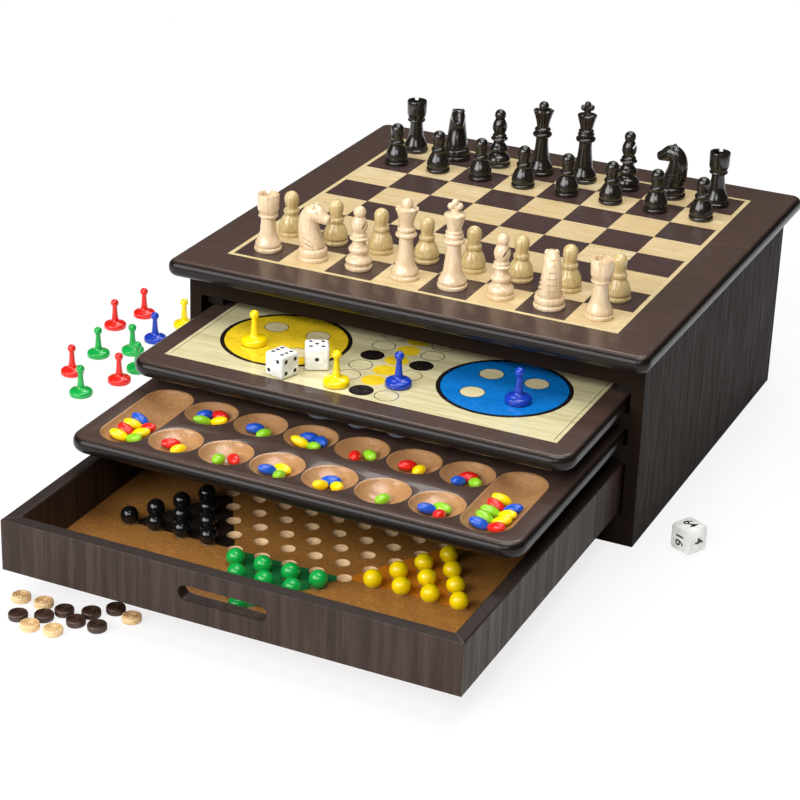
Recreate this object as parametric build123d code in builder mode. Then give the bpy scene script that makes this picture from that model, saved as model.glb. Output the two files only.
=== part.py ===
"""Games compendium box: a chessboard cabinet over a ludo tray, a mancala tray and a marble drawer.

Millimetres, +Z up, front towards -Y. The origin is on the floor, under the middle of the cabinet.
The trays and the drawer are drawn as pulled out, with their games laid out on them.
"""

import os
from math import asin, cos, radians, sin, sqrt, tan

from build123d import *

os.makedirs("parts", exist_ok=True)

# Chessboard top
square = 35.0  # side of one chess square
squares = 8  # squares along a side
tile_joint = 0.1  # hairline between two veneer tiles
stringing_width = 3.2  # light line round the field
border_margin = 31.8  # dark border, from the light line to the edge of the top
veneer = 0.6  # thickness of tiles, stringing and printed sheets
top_thickness = 12.0
top_bullnose = 5.5
top_corner = 8.0

# Cabinet
side_overhang = 7.5  # top past the cabinet at the sides
front_overhang = 22.0  # top past the cabinet at the front and the back
side_thickness = 9.0
back_thickness = 6.0
base_thickness = 6.0
rail_thickness = 9.0  # plinth rail and apron rail
plinth_height = 22.2
apron_height = 18.3
runner_width = 12.0  # strips that carry and steady the trays and the drawer
runner_setback = 3.0  # strips start behind the front edges of the sides
slide_clearance = 0.3  # between a sliding piece and the strip above or below it

# Trays and drawer
tray_thickness = 11.0
tray_bullnose = 5.0
tray_corner = 14.0
tray_side_gap = 2.0
drawer_side_gap = 3.0
closed_reveal = 9.0  # a closed tray or drawer stands this far out of the cabinet, as its grip
rear_gap = 3.0  # a closed tray stops this far from the back panel
runner_over_drawer = 13.5  # drawer rim to the underside of the mancala tray
runner_over_mancala = 12.1  # mancala tray to the underside of the ludo tray
gap_over_ludo = 9.4  # ludo tray to the lower edge of the apron rail
ludo_pull = 93.5  # how far each is drawn out of its closed place
mancala_pull = 171.0
drawer_pull = 246.0

# Ludo tray
ludo_sheet = 280.0  # side of the printed sheet
ludo_sheet_margin = 20.5  # from the front edge of the tray
ludo_pitch = 18.0  # step of the ludo track
ludo_first_row = 11.5  # from the front edge of the sheet to the first row of the track
ludo_home_offset = 80.0  # from the middle of the board to the middle of a home circle
ludo_home_step = 16.0  # from the middle of a home circle to its spots

# Mancala tray
pit_rows = (75.0, 29.0)  # from the front edge of the tray to the middle of each row
pits_per_row = 6
pit_web = 1.8  # dark wood left between two pits
pit_depth = 8.2
store_width = 33.0
store_length = 86.0
store_margin = 14.0  # from the side of the tray to a store
spot_diameter = 17.0  # noughts-and-crosses spots behind the pits
bowl_sides = 16
bowl_flats = 3  # bands of flats between a bowl's floor and its rim
spot_sides = 12
spot_pitch = 28.5
spot_row = 109.0  # from the front edge of the tray to the first row of spots

# Drawer and its star board
drawer_height = 35.2
drawer_stock = 9.5
star_board = 3.2  # thickness of the drawer's floor
rabbet = 4.0
slot_length = 60.0
slot_height = 10.3
slot_middle = 18.6  # above the drawer's lower edge
drawer_rim_round = 1.5
star_pitch = 19.3
star_arm = 4  # rows in a point of the star
dimple_width = 9.8
dimple_depth = 2.2
marble_diameter = 12.0
marble_gap = 0.05  # under a marble in its dimple

# Stones, pawns, dice and draughtsmen
stone_length = 12.0
stone_width = 7.0
stone_gap = 0.5  # under a stone in its bowl
stone_side = 6.3  # from the middle of a bowl to a stone beside it
stone_row = 8.3  # from one row of stones to the next in a pit
store_row = 8.8  # and in a store
ludo_pawn_height = 24.0
ludo_pawn_foot = 8.8  # radius
ludo_pawn_foot_height = 5.0
ludo_pawn_neck = 1.9
ludo_pawn_head = 3.1
die_size = 16.0
die_round = 1.6
dice_from_front = (29.4, 51.5)  # from the front edge of the ludo tray to the two dice
doubling_cube_size = 18.0
doubling_cube_round = 2.2
draught_diameter = 12.4
draught_thickness = 4.2
draught_step = 1.2  # rim round the sunk middle
draught_sink = 0.6
play_gap = 0.3  # loose ludo pieces over the tray that slides under them

# Chessmen: overall heights, and radii of the feet
pawn_height, pawn_foot = 33.0, 9.0
rook_height, rook_foot = 43.5, 9.8
knight_height, knight_foot = 42.0, 10.8
bishop_height, bishop_foot = 46.5, 9.5
queen_height, queen_foot = 59.0, 11.0
king_height, king_foot = 64.0, 11.0
foot_height = 3.4
foot_step = 1.8  # the moulding above the foot is this much narrower
foot_slope = 4.0  # height of the curve from the foot into the stem

# ---- Places worked out from the sizes above ----

field = square * squares
veneer_size = field + 2 * stringing_width
top_size = veneer_size + 2 * border_margin
cabinet_width = top_size - 2 * side_overhang
cabinet_depth = top_size - 2 * front_overhang
inner_half = cabinet_width / 2 - side_thickness
front = -cabinet_depth / 2
back_inner = cabinet_depth / 2 - back_thickness

slide_length = back_inner - rear_gap - front + closed_reveal
closed_front = front - closed_reveal
tray_width = 2 * (inner_half - tray_side_gap)
drawer_width = 2 * (inner_half - drawer_side_gap)

drawer_bottom = plinth_height + slide_clearance
drawer_rim = drawer_bottom + drawer_height
mancala_bottom = drawer_rim + runner_over_drawer
mancala_top = mancala_bottom + tray_thickness
ludo_bottom = mancala_top + runner_over_mancala
ludo_top = ludo_bottom + tray_thickness
apron_bottom = ludo_top + gap_over_ludo
cabinet_height = apron_bottom + apron_height
board_top = cabinet_height + top_thickness

ludo_front = closed_front - ludo_pull
mancala_front = closed_front - mancala_pull
drawer_front_face = closed_front - drawer_pull


def slab_at(x_range, y_range, z_range):
    """A block between two corners, added to the part being built."""
    with Locations((x_range[0], y_range[0], z_range[0])):
        Box(
            x_range[1] - x_range[0],
            y_range[1] - y_range[0],
            z_range[1] - z_range[0],
            align=(Align.MIN, Align.MIN, Align.MIN),
        )


def turned(profile, sides=8):
    """An upright turned form, from its (height, radius) steps.

    It has flat sides: its side view, cut through from all round. The games have more than two
    hundred small pieces, and flats keep each of them light.
    """
    outline = [(radius, height) for height, radius in profile]
    outline += [(-radius, height) for height, radius in reversed(profile) if radius]
    reach = 2 * max(radius for height, radius in profile)
    with BuildPart() as form:
        for direction in range(sides // 2):
            facing = radians(360 / sides * direction)
            view = Plane((0, 0, 0), (cos(facing), sin(facing), 0), (sin(facing), -cos(facing), 0))
            with BuildSketch(view):
                with BuildLine():
                    Polyline(*outline, close=True)
                make_face()
            extrude(amount=reach, both=True, mode=Mode.INTERSECT if direction else Mode.ADD)
    return form.part


# ---- Chessboard top ----

with BuildPart() as top_board:
    with BuildSketch(Plane.XY.offset(cabinet_height)):
        RectangleRounded(top_size, top_size, top_corner)
    extrude(amount=top_thickness)
    rims = top_board.faces().sort_by(Axis.Z)
    fillet(rims[-1].edges() + rims[0].edges(), radius=top_bullnose)
    with BuildSketch(Plane.XY.offset(board_top - veneer)):
        Rectangle(veneer_size, veneer_size)
    extrude(amount=veneer, mode=Mode.SUBTRACT)
top_board.part.label = "top_board"

with BuildPart() as stringing:
    with BuildSketch(Plane.XY.offset(board_top - veneer)):
        Rectangle(veneer_size, veneer_size)
        Rectangle(field, field, mode=Mode.SUBTRACT)
    extrude(amount=veneer)
stringing.part.label = "stringing"


def square_centre(file, rank):
    """Middle of a chess square: files and ranks count from 0 at the front left."""
    middle = (squares - 1) / 2
    return ((file - middle) * square, (rank - middle) * square)


def tile_places(parity):
    """Middles of the squares of one colour; parity 0 is the dark corner at the front left."""
    return [
        square_centre(file, rank)
        for rank in range(squares)
        for file in range(squares)
        if (file + rank) % 2 == parity
    ]


with BuildPart() as dark_squares:
    with BuildSketch(Plane.XY.offset(board_top - veneer)):
        with Locations(*tile_places(0)):
            Rectangle(square - tile_joint, square - tile_joint)
    extrude(amount=veneer)
dark_squares.part.label = "dark_squares"

with BuildPart() as light_squares:
    with BuildSketch(Plane.XY.offset(board_top - veneer)):
        with Locations(*tile_places(1)):
            Rectangle(square - tile_joint, square - tile_joint)
    extrude(amount=veneer)
light_squares.part.label = "light_squares"

# ---- Cabinet ----

with BuildPart() as side_panel_left:
    slab_at((-cabinet_width / 2, -inner_half), (front, -front), (0, cabinet_height))
side_panel_left.part.label = "side_panel_left"

with BuildPart() as side_panel_right:
    slab_at((inner_half, cabinet_width / 2), (front, -front), (0, cabinet_height))
side_panel_right.part.label = "side_panel_right"

with BuildPart() as back_panel:
    slab_at((-inner_half, inner_half), (back_inner, -front), (0, cabinet_height))
back_panel.part.label = "back_panel"

with BuildPart() as base_panel:
    slab_at((-inner_half, inner_half), (front + rail_thickness, back_inner), (0, base_thickness))
base_panel.part.label = "base_panel"

with BuildPart() as plinth_rail:
    slab_at((-inner_half, inner_half), (front, front + rail_thickness), (0, plinth_height))
plinth_rail.part.label = "plinth_rail"

with BuildPart() as apron_rail:
    slab_at((-inner_half, inner_half), (front, front + rail_thickness), (apron_bottom, cabinet_height))
apron_rail.part.label = "apron_rail"


def runner_pair(y_start, z_range):
    """A strip along each side panel, added to the part being built."""
    inner_face = inner_half - runner_width
    slab_at((-inner_half, -inner_face), (y_start, back_inner), z_range)
    slab_at((inner_face, inner_half), (y_start, back_inner), z_range)


with BuildPart() as drawer_runners:
    runner_pair(front + rail_thickness, (base_thickness, plinth_height))
drawer_runners.part.label = "drawer_runners"

with BuildPart() as mancala_runners:
    runner_pair(front + runner_setback, (drawer_rim + slide_clearance, mancala_bottom - slide_clearance))
mancala_runners.part.label = "mancala_runners"

with BuildPart() as ludo_runners:
    runner_pair(front + runner_setback, (mancala_top + slide_clearance, ludo_bottom - slide_clearance))
ludo_runners.part.label = "ludo_runners"

with BuildPart() as upper_guides:
    runner_pair(front + rail_thickness, (ludo_top + slide_clearance, apron_bottom))
upper_guides.part.label = "upper_guides"

# ---- Ludo tray ----

ludo_sheet_middle = ludo_front + ludo_sheet_margin + ludo_sheet / 2


def tray_blank(board, front_edge, bottom):
    """A tray board, added to the part being built: rounded front corners, and a bullnose on every
    edge but the one at the back, which stays in the cabinet."""
    rear_edge = front_edge + slide_length
    slab_at((-tray_width / 2, tray_width / 2), (front_edge, rear_edge), (bottom, bottom + tray_thickness))
    fillet(board.edges().filter_by(Axis.Z).group_by(Axis.Y)[0], radius=tray_corner)
    rims = board.faces().filter_by(Plane.XY).edges()
    fillet([edge for edge in rims if edge.center().Y < rear_edge - 1e-3], radius=tray_bullnose)


with BuildPart() as ludo_board:
    tray_blank(ludo_board, ludo_front, ludo_bottom)
    with BuildSketch(Plane.XY.offset(ludo_top - veneer)):
        with Locations((0, ludo_sheet_middle)):
            Rectangle(ludo_sheet, ludo_sheet)
    extrude(amount=veneer, mode=Mode.SUBTRACT)
ludo_board.part.label = "ludo_board"

with BuildPart() as ludo_sheet_inlay:
    with BuildSketch(Plane.XY.offset(ludo_top - veneer)):
        with Locations((0, ludo_sheet_middle)):
            Rectangle(ludo_sheet, ludo_sheet)
    extrude(amount=veneer)
ludo_sheet_inlay.part.label = "ludo_sheet"

# ---- Mancala tray: two rows of bowls cut by a ball, and a long store at each end ----

pit_pitch = (tray_width - 2 * (store_margin + store_width)) / pits_per_row
pit_diameter = pit_pitch - pit_web
store_x = tray_width / 2 - store_margin - store_width / 2
row_y = [mancala_front + distance for distance in pit_rows]
store_y = (row_y[0] + row_y[1]) / 2
store_straight = store_length - store_width


def ball_radius(width, depth):
    """Radius of the ball that cuts a bowl of this width and depth."""
    return (width**2 / 4 + depth**2) / (2 * depth)


def bowl(width, depth):
    """Steps of a bowl from its floor to its rim, with flats that touch the ball that fits it."""
    ball = ball_radius(width, depth)
    band = asin(width / 2 / ball) / (bowl_flats + 0.5)
    reach = ball / cos(band / 2)
    angles = [band * (index + 0.5) for index in range(bowl_flats)]
    steps = [(ball - depth - reach * cos(angle), reach * sin(angle)) for angle in angles]
    return steps + [(0, width / 2)]


pit_ball = ball_radius(pit_diameter, pit_depth)
store_ball = ball_radius(store_width, pit_depth)
pit_columns = [(column - (pits_per_row - 1) / 2) * pit_pitch for column in range(pits_per_row)]
spot_places = [
    (column * spot_pitch, mancala_front + spot_row + row * spot_pitch)
    for row in range(3)
    for column in (-1, 0, 1)
]

with BuildPart() as mancala_board:
    tray_blank(mancala_board, mancala_front, mancala_bottom)
    with Locations(*[(x, y, mancala_top) for y in row_y for x in pit_columns]):
        add(turned(bowl(pit_diameter, pit_depth), bowl_sides), mode=Mode.SUBTRACT)
    store_steps = bowl(store_width, pit_depth)
    store_section = [(across, height) for height, across in store_steps]
    store_section += [(-across, height) for height, across in reversed(store_steps)]
    for end in (-1, 1):
        with Locations((end * store_x, store_y - store_straight / 2, mancala_top)):
            add(turned(store_steps, bowl_sides), mode=Mode.SUBTRACT)
        with Locations((end * store_x, store_y + store_straight / 2, mancala_top)):
            add(turned(store_steps, bowl_sides), mode=Mode.SUBTRACT)
        with BuildSketch(Plane((end * store_x, store_y, mancala_top), (1, 0, 0), (0, -1, 0))):
            with BuildLine():
                Polyline(*store_section, close=True)
            make_face()
        extrude(amount=store_straight / 2, both=True, mode=Mode.SUBTRACT)
    with BuildSketch(Plane.XY.offset(mancala_top - veneer)):
        with Locations(*spot_places):
            RegularPolygon(spot_diameter / 2, spot_sides)
    extrude(amount=veneer, mode=Mode.SUBTRACT)
mancala_board.part.label = "mancala_board"

with BuildPart() as noughts_spots:
    with BuildSketch(Plane.XY.offset(mancala_top - veneer)):
        with Locations(*spot_places):
            RegularPolygon(spot_diameter / 2, spot_sides)
    extrude(amount=veneer)
noughts_spots.part.label = "noughts_spots"

def placed(piece, places, label):
    """Copies of a piece at several places, written out as one sub-part."""
    with BuildPart() as group:
        with Locations(*places):
            add(piece)
    group.part.label = label
    export_step(group.part, f"parts/{label}.step")


# ---- Mancala stones: six-sided beans, lying in the bowls ----

stone_flat = stone_width * 0.475  # to a flat: the six sides hold a round bean's bulk
stone_end = stone_width * 0.16
stone_form = turned(
    [
        (-stone_length / 2, stone_end),
        (-stone_length / 4, stone_flat),
        (stone_length / 4, stone_flat),
        (stone_length / 2, stone_end),
    ],
    sides=6,
)
stone = Rot(0, 90, 0) * stone_form

# One letter per stone: blue, green, red or yellow. The turns are of each bowl's whole heap.
back_row_stones = ("gybr", "bg", "ygbb", "rg", "ry", "bgr")
front_row_stones = ("ry", "gr", "bgy", "yyb", "g", "brg")
back_row_turns = (20, -32, -12, 33, -20, 15)
front_row_turns = (-35, 25, -18, 16, 20, -20)
left_store_stones = "ygryyrb"
right_store_stones = "brgygyrby"
store_headings = (10, -12, -10, 12, 12, -10, -8, 10, 12)

# Heaps of one to four stones: across and along the bowl, and heading. The back is left free.
near = -0.53 * stone_row
front_row_y = -0.77 * stone_row
back_row_y = front_row_y + stone_row
heaps = {
    1: ((0, near, 40),),
    2: ((-stone_side, near, -22), (stone_side, near, 18)),
    3: ((-stone_side, front_row_y, 14), (stone_side, front_row_y, -14), (0, back_row_y, 14)),
    4: (
        (-stone_side, front_row_y, 8),
        (stone_side, front_row_y, -8),
        (-stone_side, back_row_y, -6),
        (stone_side, back_row_y, 6),
    ),
}


def on_wall(centre, radius, across, along, heading, curved_along):
    """Place of a stone that lies on a hollow's wall, across and along its lowest point."""
    reach = radius - stone_width / 2 - stone_gap
    slope = along if curved_along else 0
    drop = sqrt(reach**2 - across**2 - slope**2)
    inward = Vector(-across, -slope, drop).normalized()
    level = Vector(cos(radians(heading)), sin(radians(heading)), 0)
    long_side = (level - inward * inward.dot(level)).normalized()
    where = Vector(centre[0] + across, centre[1] + along, mancala_top - pit_depth + radius - drop)
    return Location(Plane(origin=where, x_dir=long_side, z_dir=inward))


stone_places = {"b": [], "g": [], "r": [], "y": []}
pit_rows_set = zip(row_y, (back_row_stones, front_row_stones), (back_row_turns, front_row_turns))
for y, row, turns in pit_rows_set:
    for x, colours, turn in zip(pit_columns, row, turns):
        for colour, (across, along, heading) in zip(colours, heaps[len(colours)]):
            where = Vector(across, along).rotate(Axis.Z, turn)
            lying = on_wall((x, y), pit_ball, where.X, where.Y, heading + turn, True)
            stone_places[colour].append(lying)
for end, colours in ((-1, left_store_stones), (1, right_store_stones)):
    for index, (colour, heading) in enumerate(zip(colours, store_headings)):
        across = stone_side if index % 2 else -stone_side
        along = store_row * (index // 2) - store_straight / 2
        lying = on_wall((end * store_x, store_y), store_ball, across, along, heading, False)
        stone_places[colour].append(lying)

for colour, name in (("b", "blue"), ("g", "green"), ("r", "red"), ("y", "yellow")):
    placed(stone, stone_places[colour], f"stones_{name}")

# ---- Marble drawer: mitred front corners, back between the sides, floor let in from below ----

outer = drawer_width / 2
inner = outer - drawer_stock
drawer_rear = drawer_front_face + slide_length
mitre_end = drawer_front_face + drawer_stock
star_y = (drawer_front_face + drawer_rear) / 2
star_top = drawer_bottom + star_board


def drawer_rail(rail, x_range, y_range, plan, grain):
    """One side of the drawer, cut to its plan and rebated for the floor, added to the part."""
    slab_at(x_range, y_range, (drawer_bottom, drawer_rim))
    fillet(rail.edges().filter_by(grain).group_by(Axis.Z)[-1], radius=drawer_rim_round)
    with BuildSketch(Plane.XY.offset(drawer_bottom)) as outline:
        with BuildLine():
            Polyline(*plan, close=True)
        make_face()
    extrude(outline.sketch, amount=drawer_height, mode=Mode.INTERSECT)
    with BuildSketch(Plane.XY.offset(drawer_bottom)) as rebate:
        with Locations((0, star_y)):
            Rectangle(2 * (inner + rabbet), slide_length - 2 * (drawer_stock - rabbet))
    extrude(rebate.sketch, amount=star_board, mode=Mode.SUBTRACT)


with BuildPart() as drawer_front:
    drawer_rail(
        drawer_front,
        (-outer, outer),
        (drawer_front_face, mitre_end),
        [(-outer, drawer_front_face), (outer, drawer_front_face), (inner, mitre_end), (-inner, mitre_end)],
        Axis.X,
    )
    with BuildSketch(Plane.XZ.offset(-mitre_end)):
        with Locations((0, drawer_bottom + slot_middle)):
            SlotOverall(slot_length, slot_height)
    extrude(amount=drawer_stock, mode=Mode.SUBTRACT)
drawer_front.part.label = "drawer_front"

with BuildPart() as drawer_side_left:
    drawer_rail(
        drawer_side_left,
        (-outer, -inner),
        (drawer_front_face, drawer_rear),
        [(-outer, drawer_front_face), (-inner, mitre_end), (-inner, drawer_rear), (-outer, drawer_rear)],
        Axis.Y,
    )
drawer_side_left.part.label = "drawer_side_left"

with BuildPart() as drawer_side_right:
    drawer_rail(
        drawer_side_right,
        (inner, outer),
        (drawer_front_face, drawer_rear),
        [(outer, drawer_front_face), (outer, drawer_rear), (inner, drawer_rear), (inner, mitre_end)],
        Axis.Y,
    )
drawer_side_right.part.label = "drawer_side_right"

with BuildPart() as drawer_back:
    back_face = drawer_rear - drawer_stock
    drawer_rail(
        drawer_back,
        (-inner, inner),
        (back_face, drawer_rear),
        [(-inner, back_face), (inner, back_face), (inner, drawer_rear), (-inner, drawer_rear)],
        Axis.X,
    )
drawer_back.part.label = "drawer_back"

# ---- Star board: rows of dimples on a triangular lattice, counted from the front tip ----

arm_rows = list(range(1, star_arm + 1))
body_rows = [3 * star_arm + 1 - abs(row) for row in range(star_arm + 1)]
half_rows = arm_rows + body_rows[:-1]
star_rows = half_rows + [2 * star_arm + 1] + half_rows[::-1]
star_row_pitch = star_pitch * sqrt(3) / 2


def star_place(row, index):
    """Middle of a dimple; rows count from the front tip, dimples from the left."""
    x = (index - (star_rows[row] - 1) / 2) * star_pitch
    y = star_y + (row - 2 * star_arm) * star_row_pitch
    return (x, y, star_top)


dimple = turned([(-dimple_depth, 0), (0, dimple_width / 2)])

with BuildPart() as star_floor:
    with BuildSketch(Plane.XY.offset(drawer_bottom)):
        with Locations((0, star_y)):
            Rectangle(2 * (inner + rabbet), slide_length - 2 * (drawer_stock - rabbet))
    extrude(amount=star_board)
    with Locations(*[star_place(row, i) for row in range(len(star_rows)) for i in range(star_rows[row])]):
        add(dimple, mode=Mode.SUBTRACT)
star_floor.part.label = "star_board"

ball_flat = marble_diameter / 2 * tan(radians(22.5))
marble = turned(
    [
        (0, ball_flat),
        (marble_diameter / 2 - ball_flat, marble_diameter / 2),
        (marble_diameter / 2 + ball_flat, marble_diameter / 2),
        (marble_diameter, ball_flat),
    ]
)
seat_depth = dimple_depth * (1 - ball_flat / (dimple_width / 2))  # where a marble meets the cone
seat = Pos(0, 0, marble_gap - seat_depth)
front_point = [star_place(row, i) for row in range(star_arm) for i in range(row + 1)]
side_rows = [(row, star_rows[row], 2 * star_arm - row) for row in range(star_arm, 2 * star_arm)]
left_point = [star_place(row, i) for row, count, filled in side_rows for i in range(filled)]
right_point = [star_place(row, count - 1 - i) for row, count, filled in side_rows for i in range(filled)]
placed(seat * marble, left_point, "marbles_black")
placed(seat * marble, front_point, "marbles_green")
placed(seat * marble, right_point, "marbles_yellow")

# ---- Ludo pawns, dice and draughtsmen ----

ludo_pawn = turned(
    [
        (0, ludo_pawn_foot),
        (ludo_pawn_foot_height * 0.6, ludo_pawn_foot),
        (ludo_pawn_foot_height, ludo_pawn_foot - 2.6),
        (ludo_pawn_foot_height + 1, ludo_pawn_neck + 1.1),
        (ludo_pawn_height - 1.8 * ludo_pawn_head, ludo_pawn_neck),
        (ludo_pawn_height - 1.4 * ludo_pawn_head, ludo_pawn_head),
        (ludo_pawn_height - 0.6 * ludo_pawn_head, ludo_pawn_head),
        (ludo_pawn_height, ludo_pawn_head / 2),
    ]
)


def ludo_home(side_sign, spot_x, spot_y):
    """A spot of a front home circle on the ludo sheet; spots lie either side of its middle."""
    return (
        side_sign * (ludo_home_offset + spot_x * ludo_home_step),
        ludo_sheet_middle - ludo_home_offset + spot_y * ludo_home_step,
        ludo_top + play_gap,
    )


def ludo_track(column, row):
    """A spot of the front arm of the ludo track, rows counted from the front edge."""
    first = ludo_sheet_middle - ludo_sheet / 2 + ludo_first_row
    return (column * ludo_pitch, first + row * ludo_pitch, ludo_top + play_gap)


placed(ludo_pawn, [ludo_home(-1, 1, -1), ludo_track(-1, 0)], "ludo_pawns_yellow")
placed(ludo_pawn, [ludo_home(1, 1, -1), ludo_track(1, 1)], "ludo_pawns_blue")

# Pawns and pieces left on the table round the box, from the middle of the cabinet
spare_red = [(-322.5, -3.9), (-314.4, 27.7), (-303.8, -96.3), (-264.7, -92.1)]
spare_green = [(-304.4, -57.9), (-284.4, -40.0), (-263.4, -67.2), (-277.8, -125.2)]
placed(ludo_pawn, spare_red, "spare_pawns_red")
placed(ludo_pawn, spare_green, "spare_pawns_green")
placed(ludo_pawn, [(-281.1, -11.4)], "spare_pawn_blue")
placed(ludo_pawn, [(-275.1, 24.0)], "spare_pawn_yellow")


def cube(size, round_over):
    """A die standing on the table plane, with eased edges and corners."""
    with BuildPart() as block:
        Box(size, size, size, align=(Align.CENTER, Align.CENTER, Align.MIN))
        chamfer(block.edges(), length=round_over)
    return block.part


die_places = [
    Location((-56.5, ludo_front + dice_from_front[0], ludo_top + play_gap), (0, 0, -18)),
    Location((-42.2, ludo_front + dice_from_front[1], ludo_top + play_gap), (0, 0, 28)),
]
placed(cube(die_size, die_round), die_places, "dice")
placed(
    cube(doubling_cube_size, doubling_cube_round),
    [Location((200.5, -135.7, 0), (0, 0, -28))],
    "doubling_cube",
)

with BuildPart() as draughtsman:
    with BuildSketch():
        RegularPolygon(draught_diameter / 2, spot_sides)
    extrude(amount=draught_thickness)
    with BuildSketch(Plane.XY.offset(draught_thickness)):
        RegularPolygon(draught_diameter / 2 - draught_step, spot_sides)
    extrude(amount=-draught_sink, mode=Mode.SUBTRACT)

draughts_light = [(-146.5, -402), (-130.2, -401.4), (-122.8, -428.4), (-107.1, -426.5), (-72.8, -391.1)]
draughts_dark = [(-136, -421.3), (-121.4, -414.6), (-113.8, -403.5), (-100.8, -410.7), (-98, -397.5)]
draughts_dark += [(-86, -410), (-87, -386.5)]
placed(draughtsman.part, draughts_light, "draughtsmen_light")
placed(draughtsman.part, draughts_dark, "draughtsmen_dark")

# ---- Chessmen ----


def on_foot(foot, stem, upper):
    """Profile of a turned chessman: moulded foot, then the stem and what it carries."""
    moulding = foot - foot_step
    return [
        (0, foot),
        (foot_height, foot),
        (foot_height + 1, moulding),
        (foot_height + 2.5 + foot_slope, stem),
    ] + upper


with BuildPart() as pawn:
    add(
        turned(
            on_foot(
                pawn_foot,
                4.6,
                [
                    (pawn_height - 11.5, 2.8),
                    (pawn_height - 11, 5.2),
                    (pawn_height - 9.6, 5.2),
                    (pawn_height - 7.2, 5.0),
                    (pawn_height - 2.6, 5.0),
                    (pawn_height, 2.4),
                ],
            )
        )
    )

with BuildPart() as rook:
    add(
        turned(
            on_foot(
                rook_foot,
                6.6,
                [
                    (rook_height - 14, 5.0),
                    (rook_height - 11, 5.4),
                    (rook_height - 9.5, 7.6),
                    (rook_height, 7.6),
                ],
            )
        )
    )
    add(turned([(rook_height - 3, 5.2), (rook_height, 5.2)]), mode=Mode.SUBTRACT)
    with Locations((0, 0, rook_height)):
        Box(20, 2.6, 5, mode=Mode.SUBTRACT)
        Box(2.6, 20, 5, mode=Mode.SUBTRACT)

with BuildPart() as bishop:
    add(
        turned(
            on_foot(
                bishop_foot,
                5.0,
                [
                    (bishop_height - 19.5, 3.0),
                    (bishop_height - 19, 6.2),
                    (bishop_height - 17, 6.2),
                    (bishop_height - 16.4, 4.0),
                    (bishop_height - 11.5, 5.6),
                    (bishop_height - 4.5, 2.4),
                    (bishop_height - 3.4, 1.0),
                    (bishop_height - 2.6, 1.9),
                    (bishop_height - 0.8, 1.9),
                    (bishop_height, 0.8),
                ],
            )
        )
    )
    with Locations((3.6, 0, bishop_height - 8)):
        Box(1.1, 14, 8, rotation=(0, 35, 0), mode=Mode.SUBTRACT)

with BuildPart() as queen:
    add(
        turned(
            on_foot(
                queen_foot,
                5.6,
                [
                    (queen_height - 20.5, 3.4),
                    (queen_height - 20, 7.4),
                    (queen_height - 18, 7.4),
                    (queen_height - 17, 4.4),
                    (queen_height - 6, 7.6),
                    (queen_height - 4.2, 3.0),
                    (queen_height - 3.2, 2.2),
                    (queen_height - 1.0, 2.2),
                    (queen_height, 1.0),
                ],
            )
        )
    )
    for turn in range(4):
        with Locations((0, 0, queen_height - 6)):
            Box(20, 1.8, 3.4, rotation=(0, 0, 22.5 + 45 * turn), mode=Mode.SUBTRACT)
    add(turned([(queen_height - 7, 3.0), (queen_height - 2, 2.0)]))

with BuildPart() as king:
    add(
        turned(
            on_foot(
                king_foot,
                5.8,
                [
                    (king_height - 26.5, 3.8),
                    (king_height - 26, 7.8),
                    (king_height - 24, 7.8),
                    (king_height - 23, 4.6),
                    (king_height - 11.5, 7.6),
                    (king_height - 8, 2.2),
                    (king_height - 7, 2.2),
                ],
            )
        )
    )
    with Locations((0, 0, king_height)):
        Box(2.4, 2.4, 8.5, align=(Align.CENTER, Align.CENTER, Align.MAX))
    with Locations((0, 0, king_height - 3)):
        Box(6.4, 2.4, 2.2)

# The horse's head looks towards -X: chest, muzzle, ears and mane, from the side
knight_shoulder = foot_height + 2.5
with BuildPart() as knight:
    add(turned(on_foot(knight_foot, 7.4, [])))
    with BuildSketch(Plane.XZ):
        with BuildLine():
            Polyline(
                (-7.0, knight_shoulder),
                (-7.2, knight_height - 26),
                (-4.6, knight_height - 19.5),
                (-4.2, knight_height - 16),
                (-8.6, knight_height - 17.5),
                (-10.4, knight_height - 15),
                (-9.6, knight_height - 11.6),
                (-4.8, knight_height - 5.2),
                (-2.6, knight_height - 3.4),
                (-1.2, knight_height),
                (1.6, knight_height - 3.0),
                (5.6, knight_height - 9.5),
                (7.6, knight_height - 20),
                (7.4, knight_shoulder),
                close=True,
            )
        make_face()
    extrude(amount=4.6, both=True)

# The left and the right knight of each side, as they were put down
knight_turns = {"light": (180, -90), "dark": (90, 0)}
ranks = (("light", 0, 1), ("dark", squares - 1, squares - 2))
for colour, back_rank, pawn_rank in ranks:
    back_row = [(*square_centre(file, back_rank), board_top) for file in range(squares)]
    pawn_row = [(*square_centre(file, pawn_rank), board_top) for file in range(squares)]
    placed(pawn.part, pawn_row, f"{colour}_pawns")
    placed(rook.part, [back_row[0], back_row[-1]], f"{colour}_rooks")
    placed(bishop.part, [back_row[2], back_row[-3]], f"{colour}_bishops")
    placed(queen.part, [back_row[3]], f"{colour}_queen")
    placed(king.part, [back_row[4]], f"{colour}_king")
    turn_left, turn_right = knight_turns[colour]
    knight_places = [Location(back_row[1], (0, 0, turn_left)), Location(back_row[-2], (0, 0, turn_right))]
    placed(knight.part, knight_places, f"{colour}_knights")

cabinet_parts = (
    top_board,
    stringing,
    dark_squares,
    light_squares,
    side_panel_left,
    side_panel_right,
    back_panel,
    base_panel,
    plinth_rail,
    apron_rail,
    drawer_runners,
    mancala_runners,
    ludo_runners,
    upper_guides,
)
tray_parts = (ludo_board, ludo_sheet_inlay, mancala_board, noughts_spots)
drawer_parts = (drawer_front, drawer_side_left, drawer_side_right, drawer_back, star_floor)
for piece in cabinet_parts + tray_parts + drawer_parts:
    export_step(piece.part, f"parts/{piece.part.label}.step")
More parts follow.
